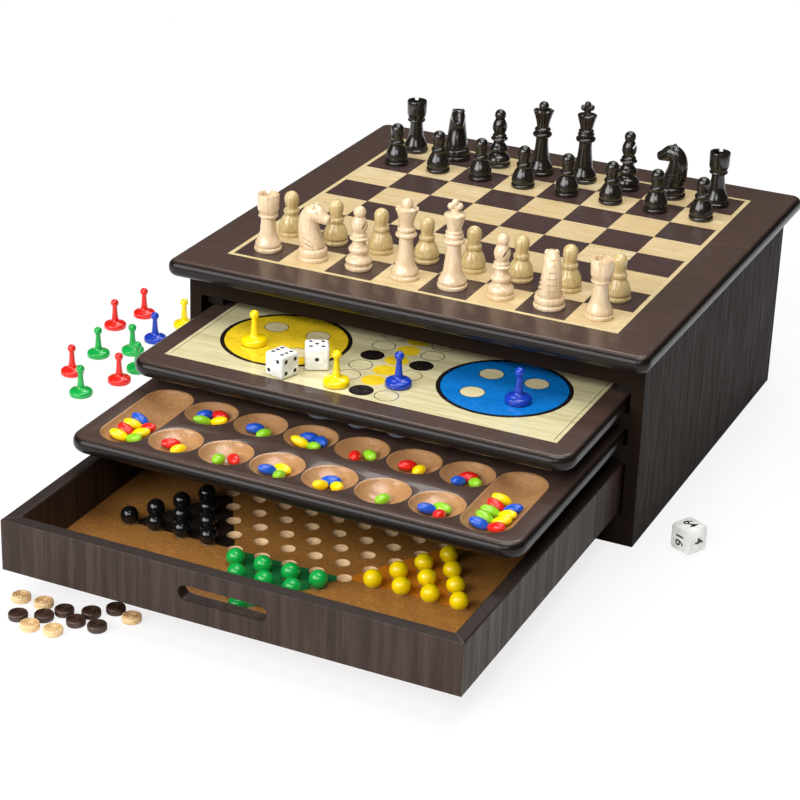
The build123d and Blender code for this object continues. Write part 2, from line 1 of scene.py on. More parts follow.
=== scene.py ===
# %% [markdown]
# # A games compendium box
#
# Five games share one dark cabinet. A chessboard is its lid, a ludo tray and a mancala tray slide
# out below it, and a drawer at the bottom holds a star board with marbles. The pieces are set out
# as in the middle of a game, with the spare ones on the table beside the box.
#
# The solids were made first, in CAD, and they are loaded here as a fixed frame. Boards, panels and
# drawer sides are flat work that already has its true shape, so they only get a finish. Everything
# turned, moulded or printed is modelled here, on the place that its solid has.

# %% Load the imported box
from contextlib import contextmanager
from math import asin, atan2, cos, pi, radians, sin, sqrt

import bpy
from mathutils import Matrix, Vector


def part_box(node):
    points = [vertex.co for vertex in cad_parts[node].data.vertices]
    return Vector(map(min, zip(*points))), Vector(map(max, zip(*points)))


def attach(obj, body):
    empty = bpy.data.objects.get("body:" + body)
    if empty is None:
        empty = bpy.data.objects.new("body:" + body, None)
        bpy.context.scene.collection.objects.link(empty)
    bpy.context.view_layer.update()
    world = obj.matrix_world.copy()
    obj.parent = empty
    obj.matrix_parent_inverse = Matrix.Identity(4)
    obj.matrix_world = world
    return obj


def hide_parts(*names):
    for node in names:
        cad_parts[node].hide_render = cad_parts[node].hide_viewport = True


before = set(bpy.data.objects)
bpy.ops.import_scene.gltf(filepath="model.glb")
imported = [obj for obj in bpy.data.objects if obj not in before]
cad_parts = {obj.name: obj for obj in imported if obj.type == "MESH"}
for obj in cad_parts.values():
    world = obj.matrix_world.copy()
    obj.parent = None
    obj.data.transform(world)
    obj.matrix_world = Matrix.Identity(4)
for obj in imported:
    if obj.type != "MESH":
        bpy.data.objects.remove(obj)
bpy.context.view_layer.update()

MM = 0.001

# %% [markdown]
# ## Where things are
#
# Heights and the places of boards come from the frame, so a piece goes where its solid is. The
# three sliding boards carry most of the set. Millimetres are turned into Blender's metres by MM.

# %% Heights and places read from the frame
board_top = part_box("top_board")[1].z
ludo_low, ludo_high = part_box("ludo_sheet")
mancala_low, mancala_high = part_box("mancala_board")
star_low, star_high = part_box("star_board")
LINE_WIDTH = 3.2
square = (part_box("stringing")[1].x - LINE_WIDTH * MM) / 4
print("chess square, mm:", round(square / MM, 2))

# %% [markdown]
# ## Helpers for modelling
#
# Blender's operators act on whatever is selected, so each step first selects just what it needs.

# %% Selecting and tidying
def only(*objects):
    """Selects these objects and nothing else; the last one is active."""
    bpy.ops.object.select_all(action="DESELECT")
    for obj in objects:
        obj.select_set(True)
    bpy.context.view_layer.objects.active = objects[-1]


def settle(*objects):
    """Puts the place, turn and stretch of objects into their meshes."""
    only(*objects)
    bpy.ops.object.transform_apply(location=True, rotation=True, scale=True)
    return objects[-1]


def added(operator, place=(0, 0, 0), turn=(0, 0, 0), stretch=(1, 1, 1), **settings):
    """A new primitive, with its place in its mesh."""
    bpy.ops.object.select_all(action="DESELECT")
    operator(**settings)
    made = bpy.context.object
    made.location, made.rotation_euler, made.scale = place, turn, stretch
    return settle(made)


@contextmanager
def editing(obj):
    """Edit mode on one object, with all of it selected, and back."""
    only(obj)
    bpy.ops.object.mode_set(mode="EDIT")
    bpy.ops.mesh.select_all(action="SELECT")
    yield
    bpy.ops.object.mode_set(mode="OBJECT")


def tidy(obj, smooth=40):
    """Merges doubles, turns faces outwards and smooths everything but sharp edges."""
    settle(obj)
    with editing(obj):
        bpy.ops.mesh.remove_doubles(threshold=1e-6)
        bpy.ops.mesh.normals_make_consistent(inside=False)
    bpy.ops.object.shade_smooth_by_angle(angle=radians(smooth))
    return obj


def join(name, pieces):
    """Several pieces made one object, with its place in its mesh."""
    only(*pieces)
    bpy.ops.object.join()
    bpy.context.object.name = name
    return settle(bpy.context.object)


def at(x, y, z, turn=0):
    """A place in metres, with a turn about the upright."""
    return Matrix.Translation((x, y, z)) @ Matrix.Rotation(turn, 4, "Z")


def copies(name, master, places):
    """Copies of one piece made one object; the piece that was copied goes away."""
    made = []
    for place in places:
        only(master)
        bpy.ops.object.duplicate()
        bpy.context.object.matrix_world = place
        made.append(bpy.context.object)
    bpy.data.objects.remove(master)
    return join(name, made)


def apply_modifiers(obj):
    only(obj)
    for modifier in list(obj.modifiers):
        bpy.ops.object.modifier_apply(modifier=modifier.name)
    return obj


def cut(obj, cutter, operation="DIFFERENCE"):
    """Cuts one solid with another, which is used up."""
    modifier = obj.modifiers.new("cut", "BOOLEAN")
    modifier.object = cutter
    modifier.operation = operation
    modifier.solver = "EXACT"
    modifier.material_mode = "TRANSFER"
    apply_modifiers(obj)
    bpy.data.objects.remove(cutter)
    return obj


# %% [markdown]
# ## Turned work
#
# Chessmen, pawns, marbles and draughtsmen are turned on a lathe. A disc is drawn up a step at a
# time, and each step is widened or narrowed, as a turner reads a template from foot to head. Round
# stretches of the template come from an arc.

# %% A lathe
def turned(name, steps, sides=32):
    """A turned piece from its (height, radius) steps in millimetres, standing at the origin."""
    height, radius = steps[0]
    piece = added(
        bpy.ops.mesh.primitive_circle_add, (0, 0, height * MM),
        vertices=sides, radius=radius * MM, fill_type="NGON",
    )
    piece.name = name
    with editing(piece):
        for (low, narrow), (high, wide) in zip(steps, steps[1:]):
            rise = (high - low) * MM
            bpy.ops.mesh.extrude_region_move(TRANSFORM_OT_translate={"value": (0, 0, rise)})
            bpy.ops.transform.resize(
                value=(wide / narrow, wide / narrow, 1), center_override=(0, 0, high * MM)
            )
    return tidy(piece)


def arc(centre, radius, start, end, count, squash=1.0):
    """Steps round an arc of the template, from one angle to another, in degrees from level."""
    angles = [radians(start + (end - start) * i / count) for i in range(count + 1)]
    return [(centre + squash * radius * sin(a), radius * cos(a)) for a in angles]


def curve(start, end, bow, count):
    """Steps along a hollow or swelling stretch of the template; bow is its depth."""
    steps = []
    for i in range(1, count + 1):
        t = i / count
        height = start[0] + (end[0] - start[0]) * t
        radius = start[1] + (end[1] - start[1]) * t + bow * sin(pi * t)
        steps.append((height, radius))
    return steps


# %% [markdown]
# ## Finishes
#
# Colours are mixed as they look on a screen and turned into the linear values that shaders need.
# A finish starts from one Principled shader. Numbers that are the same all over go straight on its
# sockets, and only what changes over the surface comes from nodes.

# %% Starting a finish
def shade(red, green, blue):
    """A screen colour, 0 to 255, as linear values."""
    def linear(value):
        value /= 255
        return value / 12.92 if value <= 0.04045 else ((value + 0.055) / 1.055) ** 2.4
    return (linear(red), linear(green), linear(blue), 1)


def add_node(tree, kind, inputs=None, **settings):
    """A node with its settings made; its inputs take a value or another node's output."""
    node = tree.nodes.new(kind)
    for setting, value in settings.items():
        setattr(node, setting, value)
    for socket, value in (inputs or {}).items():
        if isinstance(value, bpy.types.NodeSocket):
            tree.links.new(value, node.inputs[socket])
        else:
            node.inputs[socket].default_value = value
    return node


def socket_of(material, socket):
    """A socket of the material's Principled shader."""
    return material.node_tree.nodes["Principled BSDF"].inputs[socket]


def finish(name, **sockets):
    """A new material; the plain values go on its Principled shader."""
    made = bpy.data.materials.new(name)
    made.use_nodes = True
    for socket, value in sockets.items():
        socket_of(made, socket.replace("_", " ")).default_value = value
    return made


def feed(material, socket, output):
    """Lets a node's output drive a socket of the material's shader."""
    material.node_tree.links.new(output, socket_of(material, socket))


def coordinates(material, scale=(1, 1, 1)):
    """The object's own coordinates, stretched."""
    tree = material.node_tree
    source = add_node(tree, "ShaderNodeTexCoord").outputs["Object"]
    mapping = add_node(tree, "ShaderNodeMapping", {"Vector": source, "Scale": scale})
    return mapping.outputs["Vector"]


def blend(tree, factor, first, second):
    """A colour between two others."""
    mix = add_node(tree, "ShaderNodeMix", data_type="RGBA")
    for socket, value in (("Factor", factor), ("A", first), ("B", second)):
        target = [s for s in mix.inputs if s.name == socket and s.type in ("RGBA", "VALUE")]
        target = target[-1] if socket != "Factor" else target[0]
        if isinstance(value, bpy.types.NodeSocket):
            tree.links.new(value, target)
        else:
            target.default_value = value
    return [s for s in mix.outputs if s.type == "RGBA"][0]


def remap(tree, value, low, high, out_low=0.0, out_high=1.0):
    """Stretches part of a mask's range over another range, with soft ends."""
    ends = {"From Min": low, "From Max": high, "To Min": out_low, "To Max": out_high}
    node = add_node(
        tree, "ShaderNodeMapRange", {"Value": value, **ends}, interpolation_type="SMOOTHSTEP"
    )
    return node.outputs["Result"]


def tint(material, factor, colour):
    """Blends another colour over the one that the material has so far."""
    so_far = socket_of(material, "Base Color").links[0].from_socket
    feed(material, "Base Color", blend(material.node_tree, factor, so_far, shade(*colour)))


# %% [markdown]
# Grain is used by every wood in the box, so it is one node group. Noise is stretched along the
# board by the coordinates that come in. One layer gives the streaks, a wide one gives the slow
# change of tone from board to board, and a fine one gives the pores.

# %% The grain group
grain_group = bpy.data.node_groups.new("wood grain", "ShaderNodeTree")
grain_group.interface.new_socket("Vector", in_out="INPUT", socket_type="NodeSocketVector")
for output in ("Streaks", "Tone", "Pores"):
    grain_group.interface.new_socket(output, in_out="OUTPUT", socket_type="NodeSocketFloat")
group_in = grain_group.nodes.new("NodeGroupInput")
group_out = grain_group.nodes.new("NodeGroupOutput")
layers = {
    "Streaks": {"Scale": 1.0, "Detail": 5.0, "Roughness": 0.62, "Distortion": 0.5},
    "Tone": {"Scale": 0.16, "Detail": 2.0, "Roughness": 0.5, "Distortion": 0.3},
    "Pores": {"Scale": 3.4, "Detail": 2.0, "Roughness": 0.5, "Distortion": 0.0},
}
for output, noise_values in layers.items():
    along_grain = {"Vector": group_in.outputs["Vector"], **noise_values}
    noise = add_node(grain_group, "ShaderNodeTexNoise", along_grain)
    clear = remap(grain_group, noise.outputs["Fac"], 0.3, 0.7)
    grain_group.links.new(clear, group_out.inputs[output])
print("grain outputs:", list(layers))


# %% A wooden finish
def press_in(material, height, strength, distance):
    """Lets a mask raise and sink the surface a little."""
    bump = {"Height": height, "Strength": strength, "Distance": distance}
    relief = add_node(material.node_tree, "ShaderNodeBump", bump)
    feed(material, "Normal", relief.outputs["Normal"])


def wooden(
    name, pale, dark, along="X", width=1.5, length=45, pores=0.3, bump=0.08, **sockets
):
    """A wood with its grain along X, Y or Z; width and length of a streak are in millimetres."""
    made = finish(name, **sockets)
    tree = made.node_tree
    stretch = [1000 / width] * 3
    stretch["XYZ".index(along)] = 1000 / length
    grain = add_node(tree, "ShaderNodeGroup", node_tree=grain_group)
    tree.links.new(coordinates(made, scale=stretch), grain.inputs["Vector"])
    streaks, tone, pits = (grain.outputs[layer] for layer in ("Streaks", "Tone", "Pores"))
    feed(made, "Base Color", blend(tree, remap(tree, streaks, 0, 1), shade(*pale), shade(*dark)))
    tint(made, remap(tree, pits, 0.62, 0.95, 0, pores), [v * 0.55 for v in dark])
    tint(made, remap(tree, tone, 0, 1, 0, 0.35), dark)
    gloss = socket_of(made, "Roughness").default_value
    feed(made, "Roughness", remap(tree, streaks, 0, 1, gloss * 0.85, gloss * 1.2))
    press_in(made, pits, bump, 0.2 * MM)
    return made


# %% [markdown]
# ### The woods of the box
#
# The lid and the sliding boards are covered in dark foil with a lacquered, faintly streaked face,
# and their rounded edges and sides are darkened as painted shade. The panels of the cabinet are
# duller, and their near-black colour is painted shade. The drawer's foil is redder, its streaks
# stand upright, and its rim is darker.

# %% Box finishes
dark_foil = wooden(
    "dark foil", (84, 66, 58), (68, 52, 46), width=0.9, length=26, pores=0.3, bump=0.03,
    Roughness=0.34, Specular_IOR_Level=0.2, Coat_Weight=0.3, Coat_Roughness=0.1,
)


def paint_edge_shade(material, colour):
    """Paints shade on what doesn't face up, and gives it less coat than the flat face has."""
    tree = material.node_tree
    source = add_node(tree, "ShaderNodeTexCoord")
    facing = add_node(tree, "ShaderNodeSeparateXYZ", {0: source.outputs["Normal"]})
    edge = remap(tree, facing.outputs["Z"], 0.72, 0.97, 1.0, 0.0)
    tint(material, edge, colour)
    feed(material, "Roughness", remap(tree, edge, 0, 1, 0.34, 0.26))
    feed(material, "Coat Weight", remap(tree, edge, 0, 1, 0.3, 0.08))


# Painted shade: the rounded edges and sides of the dark foil are darkened to near black.
paint_edge_shade(dark_foil, (26, 21, 19))
# Painted shade: the cabinet's panels and rails get a near-black colour for the shade that falls on
# them.
panel_foil_painted_shade = wooden(
    "panel foil painted shade", (36, 26, 19), (33, 24, 18), along="Z", width=2.0, length=50, pores=0.06,
    bump=0.0, Roughness=0.5, Specular_IOR_Level=0.04,
)
drawer_foil = wooden(
    "drawer foil", (66, 50, 43), (46, 34, 29), along="Z", width=6.0, length=120, pores=0.2,
    bump=0.02, Roughness=0.45, Specular_IOR_Level=0.2,
)
tree = drawer_foil.node_tree
drawer_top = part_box("drawer_front")[1].z
heights = add_node(tree, "ShaderNodeSeparateXYZ", {0: coordinates(drawer_foil)})
rim = remap(tree, heights.outputs["Z"], drawer_top - 0.7 * MM, drawer_top - 0.4 * MM)
tint(drawer_foil, rim, (43, 34, 29))
inside_wood = wooden(
    "inside wood", (38, 26, 21), (26, 18, 15), along="Y", width=1.6, length=80, Roughness=0.55,
    Specular_IOR_Level=0.25,
)


def dress(material, *nodes):
    """Puts a finish on solids that already have their true shape."""
    for node in nodes:
        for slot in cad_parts[node].material_slots:
            slot.material = material


dress(dark_foil, "top_board", "ludo_board")
dress(
    panel_foil_painted_shade,
    "side_panel_left", "side_panel_right", "back_panel", "plinth_rail", "apron_rail",
)
dress(drawer_foil, "drawer_front", "drawer_side_left", "drawer_side_right", "drawer_back")
dress(
    inside_wood,
    "base_panel", "drawer_runners", "mancala_runners", "ludo_runners", "upper_guides",
)

# %% [markdown]
# ### Veneer squares
#
# Each square is its own piece of veneer, so its tone differs from its neighbour's. A white noise
# read at the square's whole-number place gives that tone. The light squares are maple, and so is
# the line round them.

# %% Squares
def veneer(name, pale, dark, **sockets):
    """A wood whose tone changes from square to square."""
    made = wooden(name, pale, dark, width=2.2, length=38, pores=0.25, bump=0.04, **sockets)
    tree = made.node_tree
    in_squares = coordinates(made, scale=(1 / square,) * 3)
    cells = add_node(tree, "ShaderNodeVectorMath", {0: in_squares}, operation="FLOOR")
    random_tone = add_node(tree, "ShaderNodeTexWhiteNoise", {"Vector": cells.outputs["Vector"]})
    tint(made, remap(tree, random_tone.outputs["Value"], 0, 1, 0, 0.42), dark)
    return made


maple = veneer(
    "maple veneer", (232, 214, 174), (206, 178, 126), Roughness=0.3, Specular_IOR_Level=0.4
)
dark_veneer = veneer(
    "dark veneer", (82, 62, 58), (64, 48, 45), Roughness=0.28, Specular_IOR_Level=0.4
)
line_maple = wooden(
    "maple line", (226, 208, 160), (208, 186, 134), width=1.5, length=30, Roughness=0.34
)
dress(maple, "light_squares")
dress(dark_veneer, "dark_squares")
dress(line_maple, "stringing")

# %% [markdown]
# ### Plastics and lacquered men
#
# Pawns, stones and marbles are moulded in bright plastic. It is glossy, and its colour isn't quite
# even, so a slow noise darkens it slightly, and a finer one gives it the marks of handling. The
# chessmen are lacquered wood: ivory-coloured with warm streaks for one side, whose pawns are more
# yellow, and nearly black for the other.

# %% Plastic
def moulded(name, colour, roughness=0.18, **sockets):
    """A glossy plastic with slight mottling and handling marks."""
    made = finish(name, Roughness=roughness, **sockets)
    tree = made.node_tree
    place = coordinates(made)
    mottle, marks = (
        add_node(tree, "ShaderNodeTexNoise", {"Vector": place, "Scale": scale, "Detail": detail})
        for scale, detail in ((160, 3), (420, 4))
    )
    mottle, marks = mottle.outputs["Fac"], marks.outputs["Fac"]
    darker = shade(*(v * 0.93 for v in colour))
    feed(made, "Base Color", blend(tree, remap(tree, mottle, 0.35, 0.7), shade(*colour), darker))
    feed(made, "Roughness", remap(tree, marks, 0.4, 0.75, roughness * 0.8, roughness * 1.5))
    press_in(made, marks, 0.03, 0.3 * MM)
    return made


plastics = {
    "red": moulded("red plastic", (226, 36, 26)),
    "green": moulded("green plastic", (20, 170, 72)),
    "blue": moulded("blue plastic", (26, 62, 182)),
    "yellow": moulded("yellow plastic", (255, 222, 6)),
    "black": moulded("black plastic", (18, 18, 20), 0.12),
    "lime": moulded("lime plastic", (144, 208, 40), 0.14),
    "stone blue": moulded("stone blue plastic", (34, 88, 200), 0.14),
}
die_white = moulded("die white", (252, 252, 246), 0.24)
pip_black = moulded("pip black", (22, 22, 24), 0.3)

# %% Lacquered men
ivory = wooden(
    "ivory lacquer", (240, 218, 186), (224, 194, 152), along="Z", width=1.6, length=22, pores=0.1,
    bump=0.03, Roughness=0.22, Coat_Weight=0.6, Coat_Roughness=0.08,
)
ebony = wooden(
    "ebony lacquer", (40, 34, 27), (24, 20, 16), along="Z", width=1.4, length=22, pores=0.1,
    bump=0.03, Roughness=0.22, Coat_Weight=0.5, Coat_Roughness=0.06,
)
honey = wooden(
    "honey lacquer", (232, 212, 160), (200, 172, 112), along="Z", width=1.3, length=20, pores=0.12,
    bump=0.03, Roughness=0.24, Coat_Weight=0.5, Coat_Roughness=0.08,
)


def put_in(piece, material, slot, body, *nodes):
    """Gives a finished piece its finish and its body, and hides the solids that it stands for."""
    if material:
        piece.data.materials.clear()
        piece.data.materials.append(material)
    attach(piece, body)
    if nodes:
        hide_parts(*nodes)
    print(piece.name, len(piece.data.polygons), "faces")


# %% [markdown]
# ## Chessmen
#
# All six share a turned foot: a flat disc, a groove, and a bell that rises into the stem. Above it
# each has its own collars and head. The steps are read off a turner's template, in millimetres
# from the foot.

# %% The foot that all chessmen share
def foot(radius, stem, stem_height):
    """Steps of the disc, the groove and the bell, up to the stem."""
    steps = [(0, radius - 0.5), (0.5, radius - 0.1), (1.4, radius), (2.4, radius - 0.1)]
    steps += [(2.9, radius - 0.6), (3.2, radius - 1.3), (3.6, radius - 1.3), (4.0, radius - 0.8)]
    steps += [(4.8, radius - 0.7), (5.8, radius - 0.9)]
    return steps + curve((5.8, radius - 0.9), (stem_height, stem), -0.9, 7)


def collar(height, radius, thickness, inner):
    """Steps of a rounded ring on the stem."""
    swell = [(0.08, 0.55), (0.25, 0.88), (0.5, 1.0), (0.75, 0.88), (0.92, 0.55)]
    return [(height + thickness * t, inner + (radius - inner) * w) for t, w in swell]


pawn_steps = foot(9.0, 8.6, 4.6)[:9] + [(5.0, 8.8)] + curve((5.0, 8.8), (15.0, 5.0), 0.9, 8)
pawn_steps += collar(15.4, 5.7, 3.6, 4.7)
pawn_steps += [(19.2, 4.5), (20.2, 4.3), (21.4, 4.5), (23.2, 4.8), (25.4, 5.1)]
pawn_steps += arc(27.0, 5.1, 4, 80, 8)

rook_steps = foot(9.8, 5.4, 18) + [(20.6, 5.0), (23.8, 4.9)] + collar(24.2, 6.9, 2.6, 5.0)
rook_steps += [(27.2, 6.0), (28.4, 6.7), (29.6, 7.2), (31.0, 7.5), (40.2, 7.7), (41.0, 7.3)]
rook_steps += [(41.0, 5.7), (40.6, 5.3), (37.6, 5.1)]

bishop_steps = foot(9.5, 8.6, 4.6)[:9] + [(5.8, 9.2), (7.4, 8.8), (8.6, 7.6), (9.8, 6.2)]
bishop_steps += [(10.8, 5.7), (11.8, 6.1), (12.8, 6.9), (14.0, 7.3), (15.2, 7.0), (16.4, 5.8)]
bishop_steps += [(17.8, 4.8), (19.4, 4.3), (20.6, 4.3)] + collar(20.9, 6.6, 2.2, 4.5)
bishop_steps += collar(23.5, 5.5, 1.8, 4.3) + [(26.0, 4.2), (27.2, 4.6)]
bishop_steps += [(28.8, 5.3), (30.8, 5.7), (33.0, 5.5), (35.0, 4.8), (36.6, 4.0), (37.4, 3.5)]
bishop_steps += arc(40.6, 4.4, -44, 78, 9)

queen_steps = foot(10.2, 6.0, 15) + [(19, 5.3), (25, 4.8), (29, 4.8)]
queen_steps += collar(29.6, 7.4, 3.4, 5.2) + [(33.4, 5.3)] + collar(33.8, 6.2, 2.6, 5.0)
queen_steps += [(37.0, 4.8), (38.6, 4.8), (40.6, 5.1), (43, 5.7), (45.2, 6.4), (47.4, 7.1)]
queen_steps += [(49.2, 7.8), (50.0, 7.9), (50.1, 7.2), (49.4, 6.4), (49.8, 5.3), (50.4, 3.9)]
queen_steps += [(50.8, 2.9)] + arc(53.2, 3.9, -42, 80, 9)

king_steps = foot(10.4, 6.2, 16) + [(21, 5.5), (27, 5.0), (31.0, 5.0)] + collar(31.6, 7.6, 3.4, 5.4)
king_steps += [(35.4, 5.4)] + collar(35.8, 6.4, 2.4, 5.2) + collar(38.6, 5.9, 2.0, 4.9)
king_steps += [(41.0, 4.8), (43.0, 5.1), (45.8, 5.8), (48.6, 6.6), (50.8, 7.2), (51.8, 7.4)]
king_steps += [(52.4, 6.9), (53.0, 5.3), (53.4, 3.8), (54.0, 2.9), (56.0, 2.5)]


# %% Blocks for notches and crosses
def block(size, place, turn=0.0, tilt=0.0, bevel=0.0):
    """A block at a place, in millimetres; tilt leans it about Y, turn is about Z."""
    middle, stretch = [v * MM for v in place], [v * MM for v in size]
    made = added(bpy.ops.mesh.primitive_cube_add, middle, (0, tilt, turn), stretch, size=1)
    if bevel:
        rounding = made.modifiers.new("rounding", "BEVEL")
        rounding.width = bevel * MM
        rounding.segments = 3
        rounding.limit_method = "NONE"
        apply_modifiers(made)
    return made


# %% [markdown]
# The castle's crown is notched crossways, the bishop's mitre has one slanting cut, and the queen's
# rim is scalloped all round. These are cut from the turned piece with blocks and rollers. The
# king's cross is a stem, two arms and three balls set on its head.

# %% Cutting the heads
def rook_master():
    rook = turned("rook", rook_steps)
    notches = [block((20, 2.6, 4.6), (0, 0, 41.0), turn) for turn in (0, pi / 2)]
    return tidy(cut(rook, join("notches", notches)), 35)


def bishop_master():
    bishop = turned("bishop", bishop_steps)
    return tidy(cut(bishop, block((1.1, 14, 8), (3.6, 0, 33.6), tilt=radians(35))), 35)


def queen_master():
    queen = turned("queen", queen_steps, 48)
    scallops = []
    for index in range(8):
        angle = 2 * pi * (index + 0.5) / 8
        rim = (8 * MM * cos(angle), 8 * MM * sin(angle), 50.9 * MM)
        roller = {"vertices": 16, "radius": 1.5 * MM, "depth": 4 * MM}
        scallops.append(
            added(bpy.ops.mesh.primitive_cylinder_add, rim, (0, pi / 2, angle), **roller)
        )
    return tidy(cut(queen, join("scallops", scallops)), 35)


def ball(radius, place):
    """A small ball with its middle at a place in metres; its radius is in millimetres."""
    sphere = bpy.ops.mesh.primitive_ico_sphere_add
    return added(sphere, place, subdivisions=3, radius=radius * MM)


def king_master():
    king = turned("king", king_steps)
    stem = block((3.6, 3.4, 5.6), (0, 0, 57.0), bevel=1.0)
    arms = block((6.0, 3.3, 3.6), (0, 0, 57.8), bevel=1.0)
    knobs = [(2.4, -2.9, 57.7), (2.4, 2.9, 57.7), (2.5, 0, 60.2)]
    knobs = [ball(radius, (x * MM, 0, z * MM)) for radius, x, z in knobs]
    return tidy(join("king", [king, stem, arms] + knobs), 35)


# %% [markdown]
# ### The knight
#
# The horse's head is carved, not turned, but it is as round as the rest. It is built as a string of
# oval hoops: up the neck, over the crown and down to the nose. Bridging them gives the skin, and
# two levels of subdivision round it. Mane, neck, mouth and eyes are cut in last.

# %% Carving a knight
KNIGHT_HOOPS = [
    (0.0, 7.0, 9.4, 9.2, 0), (0.9, 11.5, 9.1, 8.6, 2), (2.2, 16.5, 8.8, 7.9, 3),
    (3.6, 22.0, 7.9, 7.1, 3), (3.8, 27.5, 7.5, 6.5, -10), (2.4, 31.8, 7.2, 6.1, -40),
    (-0.6, 34.0, 6.9, 5.8, -72), (-3.8, 33.3, 6.6, 5.4, -98), (-6.4, 31.8, 5.4, 4.7, -112),
    (-8.8, 30.6, 4.1, 4.1, -110), (-10.8, 30.0, 3.6, 3.7, -108), (-12.6, 29.5, 3.0, 3.0, -108),
]
MANE_LINES = [
    (10.6, 14, 28), (11.4, 18.5, 22), (12.0, 23, 15), (11.8, 27.5, 0), (11.0, 32, -20),
    (8.6, 36.2, -42),
]


def hoop(x, z, long_radius, wide_radius, tilt):
    """One oval of the horse's head, in millimetres and degrees."""
    place, turn = (x * MM, 0, z * MM), (0, radians(tilt), 0)
    circle, oval = bpy.ops.mesh.primitive_circle_add, (long_radius, wide_radius, 1)
    return added(circle, place, turn, oval, vertices=16, radius=MM)


def knight_master():
    """A knight that looks towards -X."""
    head = join("knight head", [hoop(*values) for values in KNIGHT_HOOPS])
    with editing(head):
        bpy.ops.mesh.bridge_edge_loops()
        bpy.ops.mesh.select_all(action="SELECT")
        bpy.ops.mesh.fill_holes(sides=0)
    rounding = head.modifiers.new("rounding", "SUBSURF")
    rounding.levels = rounding.render_levels = 2
    apply_modifiers(head)
    tidy(head)
    for side in (-1, 1):
        ear = turned("ear", [(0, 1.9), (1.0, 1.7), (1.8, 1.2), (2.3, 0.4)], 12)
        ear.location = (-0.8 * MM, side * 3.1 * MM, 37.9 * MM)
        tidy(ear)
        cut(head, ear, "UNION")
    grooves = []
    for x, z, lean in MANE_LINES:
        grooves.append(block((4.6, 7, 0.7), (x, 0, z), tilt=radians(lean), bevel=0.2))
    for side in (-1, 1):
        eye, nostril = (-5.4, side * 5.2, 34.8), (-12.6, side * 3.0, 30.8)
        grooves.append(block((2.4, 1.8, 1.0), eye, tilt=radians(-30), bevel=0.3))
        grooves.append(block((1.0, 1.0, 0.8), nostril, bevel=0.25))
        mouth = (-12.2, side * 3.4, 28.2)
        grooves.append(block((5.0, 2.2, 0.6), mouth, tilt=radians(-14), bevel=0.15))
        for z in (13.0, 16.2, 19.4):
            neck = (1.4, side * 7.7, z)
            grooves.append(block((15, 2.6, 0.9), neck, tilt=radians(-22), bevel=0.3))
    cut(head, join("mane", grooves))
    base_steps = foot(10.8, 9.4, 5.2)[:9] + [(4.6, 10.1), (5.6, 10.3), (7.2, 10.1)]
    base_steps += [(8.2, 9.6), (8.7, 8.9), (8.9, 6.0)]
    return tidy(cut(turned("knight foot", base_steps), head, "UNION"), 45)


# %% Setting out both sides
masters = {
    "pawns": lambda: turned("pawn", pawn_steps),
    "rooks": rook_master,
    "knights": knight_master,
    "bishops": bishop_master,
    "queen": queen_master,
    "king": king_master,
}
home_files = {"rooks": (0, 7), "knights": (1, 6), "bishops": (2, 5), "queen": (3,), "king": (4,)}
knight_turns = {"light": (pi, radians(-62)), "dark": (radians(118), 0)}
for colour, lacquer, slot in (("light", ivory, "ivory_wood"), ("dark", ebony, "ebony_wood")):
    side = -1 if colour == "light" else 1
    for kind, master in masters.items():
        if kind == "pawns":
            rank, files, turns = 2.5, range(8), [0.4 * index for index in range(8)]
        else:
            rank, files = 3.5, home_files[kind]
            turns = knight_turns[colour] if kind == "knights" else (0.5, 0.2)
        spots = [
            at((file - 3.5) * square, side * rank * square, board_top, turn)
            for file, turn in zip(files, turns)
        ]
        men = copies(f"{colour}_{kind}_turned", master(), spots)
        wood = honey if (colour, kind) == ("light", "pawns") else lacquer
        put_in(men, wood, slot, f"{colour}_chessmen", f"{colour}_{kind}")

# %% [markdown]
# ## Mancala tray
#
# The tray is a routed board. A slab gets rounded front corners and a bullnose on all but its rear
# edge. The hollows are then cut by a set of bowl-shaped tools joined into one, so one Boolean does
# all of them. The tools carry the bare-wood finish, and the cut faces take it over from them.

# %% Bare wood in the bowls
bare_wood = wooden(
    "bare bowl wood", (204, 156, 106), (168, 120, 76), width=0.8, length=2.4, pores=0.35,
    bump=0.08, Roughness=0.3, Coat_Weight=0.7, Coat_Roughness=0.22,
)
PIT_DEPTH, PIT_GAP, STORE_WIDTH, STORE_LENGTH, BORDER = 8.2, 1.8, 33.0, 86.0, 14.0
BACK_ROW, FRONT_ROW = 75.0, 29.0  # from the front edge
tray_width = (mancala_high.x - mancala_low.x) / MM
tray_front = mancala_low.y / MM
tray_top = mancala_high.z / MM
pit_pitch = (tray_width - 2 * (BORDER + STORE_WIDTH)) / 6
pit_width = pit_pitch - PIT_GAP
store_x = tray_width / 2 - BORDER - STORE_WIDTH / 2
pit_rows = (tray_front + BACK_ROW, tray_front + FRONT_ROW)
pit_columns = [(column - 2.5) * pit_pitch for column in range(6)]
store_y = sum(pit_rows) / 2
store_straight = STORE_LENGTH - STORE_WIDTH
print("pit width, mm:", round(pit_width, 1))


def ball_radius(width, depth):
    """Radius of the ball that cuts a bowl of this width and depth."""
    return (width**2 / 4 + depth**2) / (2 * depth)


def bowl_steps(width, depth, count):
    """Steps up the wall of a bowl, from its lowest point to its rim at height 0."""
    radius = ball_radius(width, depth)
    angles = [asin(width / 2 / radius) * i / count for i in range(1, count + 1)]
    return [(radius - depth - radius * cos(a), radius * sin(a)) for a in angles]


# %% Tools for the hollows
def bowl_tool(name, width):
    """A cutting tool for a bowl, with its rim at height 0 and a small soft lip."""
    half = width / 2
    steps = [(-PIT_DEPTH, 0.2)] + bowl_steps(width, PIT_DEPTH, 12)[:-1]
    steps += [(-0.55, half - 0.55), (-0.2, half - 0.1), (0, half + 0.35), (2, half + 0.35)]
    return turned(name, steps, 64)


